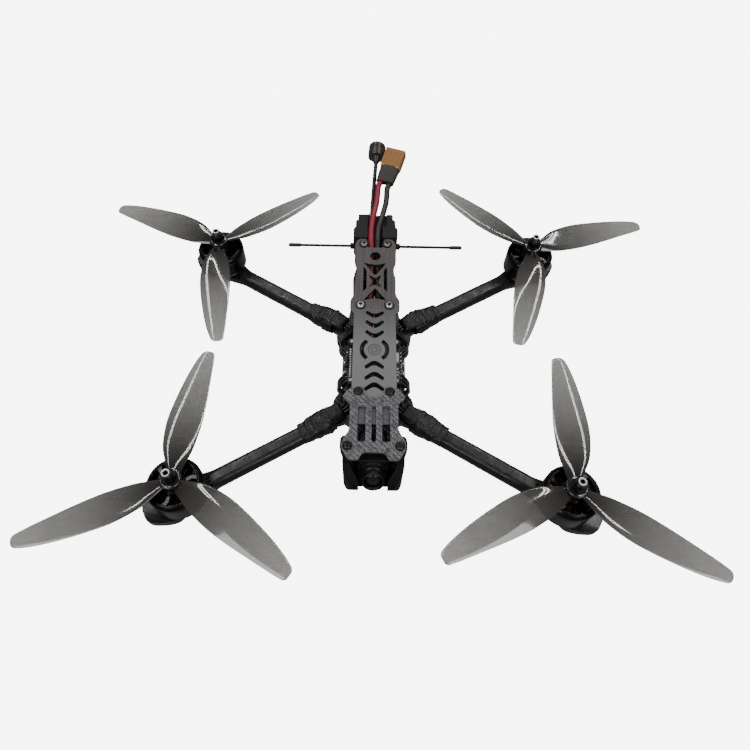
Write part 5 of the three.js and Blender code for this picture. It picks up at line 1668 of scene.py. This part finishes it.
def video_antenna():
    """A semi-rigid stem from a brass nut to a round capped head."""
    piece = Piece("video_aerial", "black_plastic", stands_for=["video_antenna"])
    piece.add(swept(smooth(STEM, 10), lambda t: 1.6 + 0.2 * max(0.0, 1 - t * 14), 20),
              LOOKS["black_wire"])
    nut = Matrix.Translation((-3.2, 121.3, 30)) @ Matrix.Rotation(-math.pi / 2, 4, "X")
    piece.add(prism(3.2, 0.4, 4.0, edge=0.3), LOOKS["gold"], nut)
    piece.add(turned([(0, 0), (2.6, 0), (2.6, 5), (1.9, 5.4), (0, 5.4)], 32), LOOKS["gold"], nut)
    facing = Vector(STEM[-1]) - Vector(STEM[-2])
    head = Matrix.Translation(STEM[-1]) @ facing.to_track_quat("Z", "X").to_matrix().to_4x4()
    cap = [(0, -5.0), (1.9, -5.0), (2.1, -4.6), (3.0, -2.4), (4.2, -0.6), (4.6, -0.1), (6.2, 0.0),
           (6.5, 0.15), (6.65, 0.5),
           (6.65, 6.9), (6.4, 7.1), (6.4, 7.5), (6.65, 7.7), (6.65, 9.8), (6.4, 10.6), (5.8, 11.3),
           (4.6, 11.6), (0, 11.7)]
    piece.add(turned(cap, 64), LOOKS["cap"], head)
    for k in range(16):
        piece.add(block((6.5, -0.45, 1.4), (6.72, 0.45, 6.2), 0.1), LOOKS["cap"],
                  head @ turned_to(0, 0, 0, 22.5 * k + 10))
    piece.finish()


# ---------------------------------------------------------------- the whole drone

roof()
nose_plate()
deck()
grip_pads()
belly()
bolts()
posts()
for name, (x_side, y_side, spin, rest) in CORNERS.items():
    arm(name, x_side, y_side)
    arm_sleeve(name, x_side, y_side)
    tape_wrap(name, x_side, y_side)
    phase_wires(name, x_side, y_side)
    stator(name, x_side, y_side)
    bell(name, x_side, y_side)
    propeller(name, x_side, y_side, spin, rest)
    prop_nut(name, x_side, y_side)
speed_controller()
stack_mounts()
flight_controller()
video_transmitter()
capacitor()
fine_cables()
receiver()
camera_body()
camera_lens()
for hand, side in SIDES.items():
    cheek(hand, side)
rear_mount()
receiver_antenna()
video_antenna()

# ---------------------------------------------------------------- floor and light


FLOOR_GLOW = 6.5
ROOM_LIGHT = 0.2
KEY_POWER = 7
# Five thin tubes overhead, two to each side and one across behind, which draw the long streaks on
# the blades. Each gives its place in X and Y, then its size in X and Y.
TUBES = [(-0.53, 0.7, 0.02, 1.3), (-0.46, 0.7, 0.02, 1.3), (0.55, 0.7, 0.02, 1.3),
         (0.62, 0.7, 0.02, 1.3),
         (0.02, 1.14, 1.1, 0.02)]
TUBE_HEIGHT = 1.15
TUBE_POWER = 2.9
# The backdrop's section in metres: floor, foot of the wall, wall and ceiling, as (radius, height).
COVE = [(0, 0), (2.6, 0), (2.9, 0.1), (3.1, 0.4), (3.2, 1.0), (3.2, 4.0), (0, 4.6)]
FLOOR_DROP = 0.0002  # the floor lies this far below the belly, so that they never coincide


def backdrop():
    """A pale round cove: floor, wall and ceiling in one bright skin, well clear of the drone."""
    points, faces = turned(COVE, 96)
    mesh = bpy.data.meshes.new("backdrop")
    mesh.from_pydata([(p.x, p.y, p.z - FLOOR_DROP) for p in points], [], faces)
    paper = Look("pale_paper", (0.93, 0.93, 0.93), 0.9, emission_color=(1.0, 1.0, 1.0, 1.0),
                 emission_strength=FLOOR_GLOW)
    paper.set("Base Color", paper.blend(paper.spots(30.0, 3.0), (0.92, 0.92, 0.92), (0.94, 0.94, 0.94)))
    mesh.materials.append(paper.material)
    mesh.shade_smooth()
    made = bpy.data.objects.new("backdrop", mesh)
    bpy.context.scene.collection.objects.link(made)
    # Its glow stays off the drone, as in the photograph, where the drone seems cut out on white.
    made.visible_diffuse = made.visible_glossy = made.visible_shadow = False


def area_light(name, place, aim, size, power):
    data = bpy.data.lights.new(name, "AREA")
    data.shape, (data.size, data.size_y) = "RECTANGLE", size
    data.energy = power
    made = bpy.data.objects.new(name, data)
    made.location = place
    made.rotation_euler = (Vector(aim) - Vector(place)).to_track_quat("-Z", "Y").to_euler()
    bpy.context.scene.collection.objects.link(made)


def studio():
    world = bpy.data.worlds.new("studio")
    world.use_nodes = True
    world.node_tree.nodes["Background"].inputs[0].default_value = (1.0, 1.0, 1.0, 1)
    world.node_tree.nodes["Background"].inputs[1].default_value = ROOM_LIGHT
    bpy.context.scene.world = world
    for hand, side in SIDES.items():
        area_light(f"key_{hand}", (side * 0.75, -0.85, 1.2), (0, 0, 0), (0.8, 0.6), KEY_POWER)
    for number, (x, y, wide, deep) in enumerate(TUBES):
        area_light(f"tube_{number}", (x, y, TUBE_HEIGHT), (x, y, 0), (wide, deep), TUBE_POWER)


backdrop()
studio()
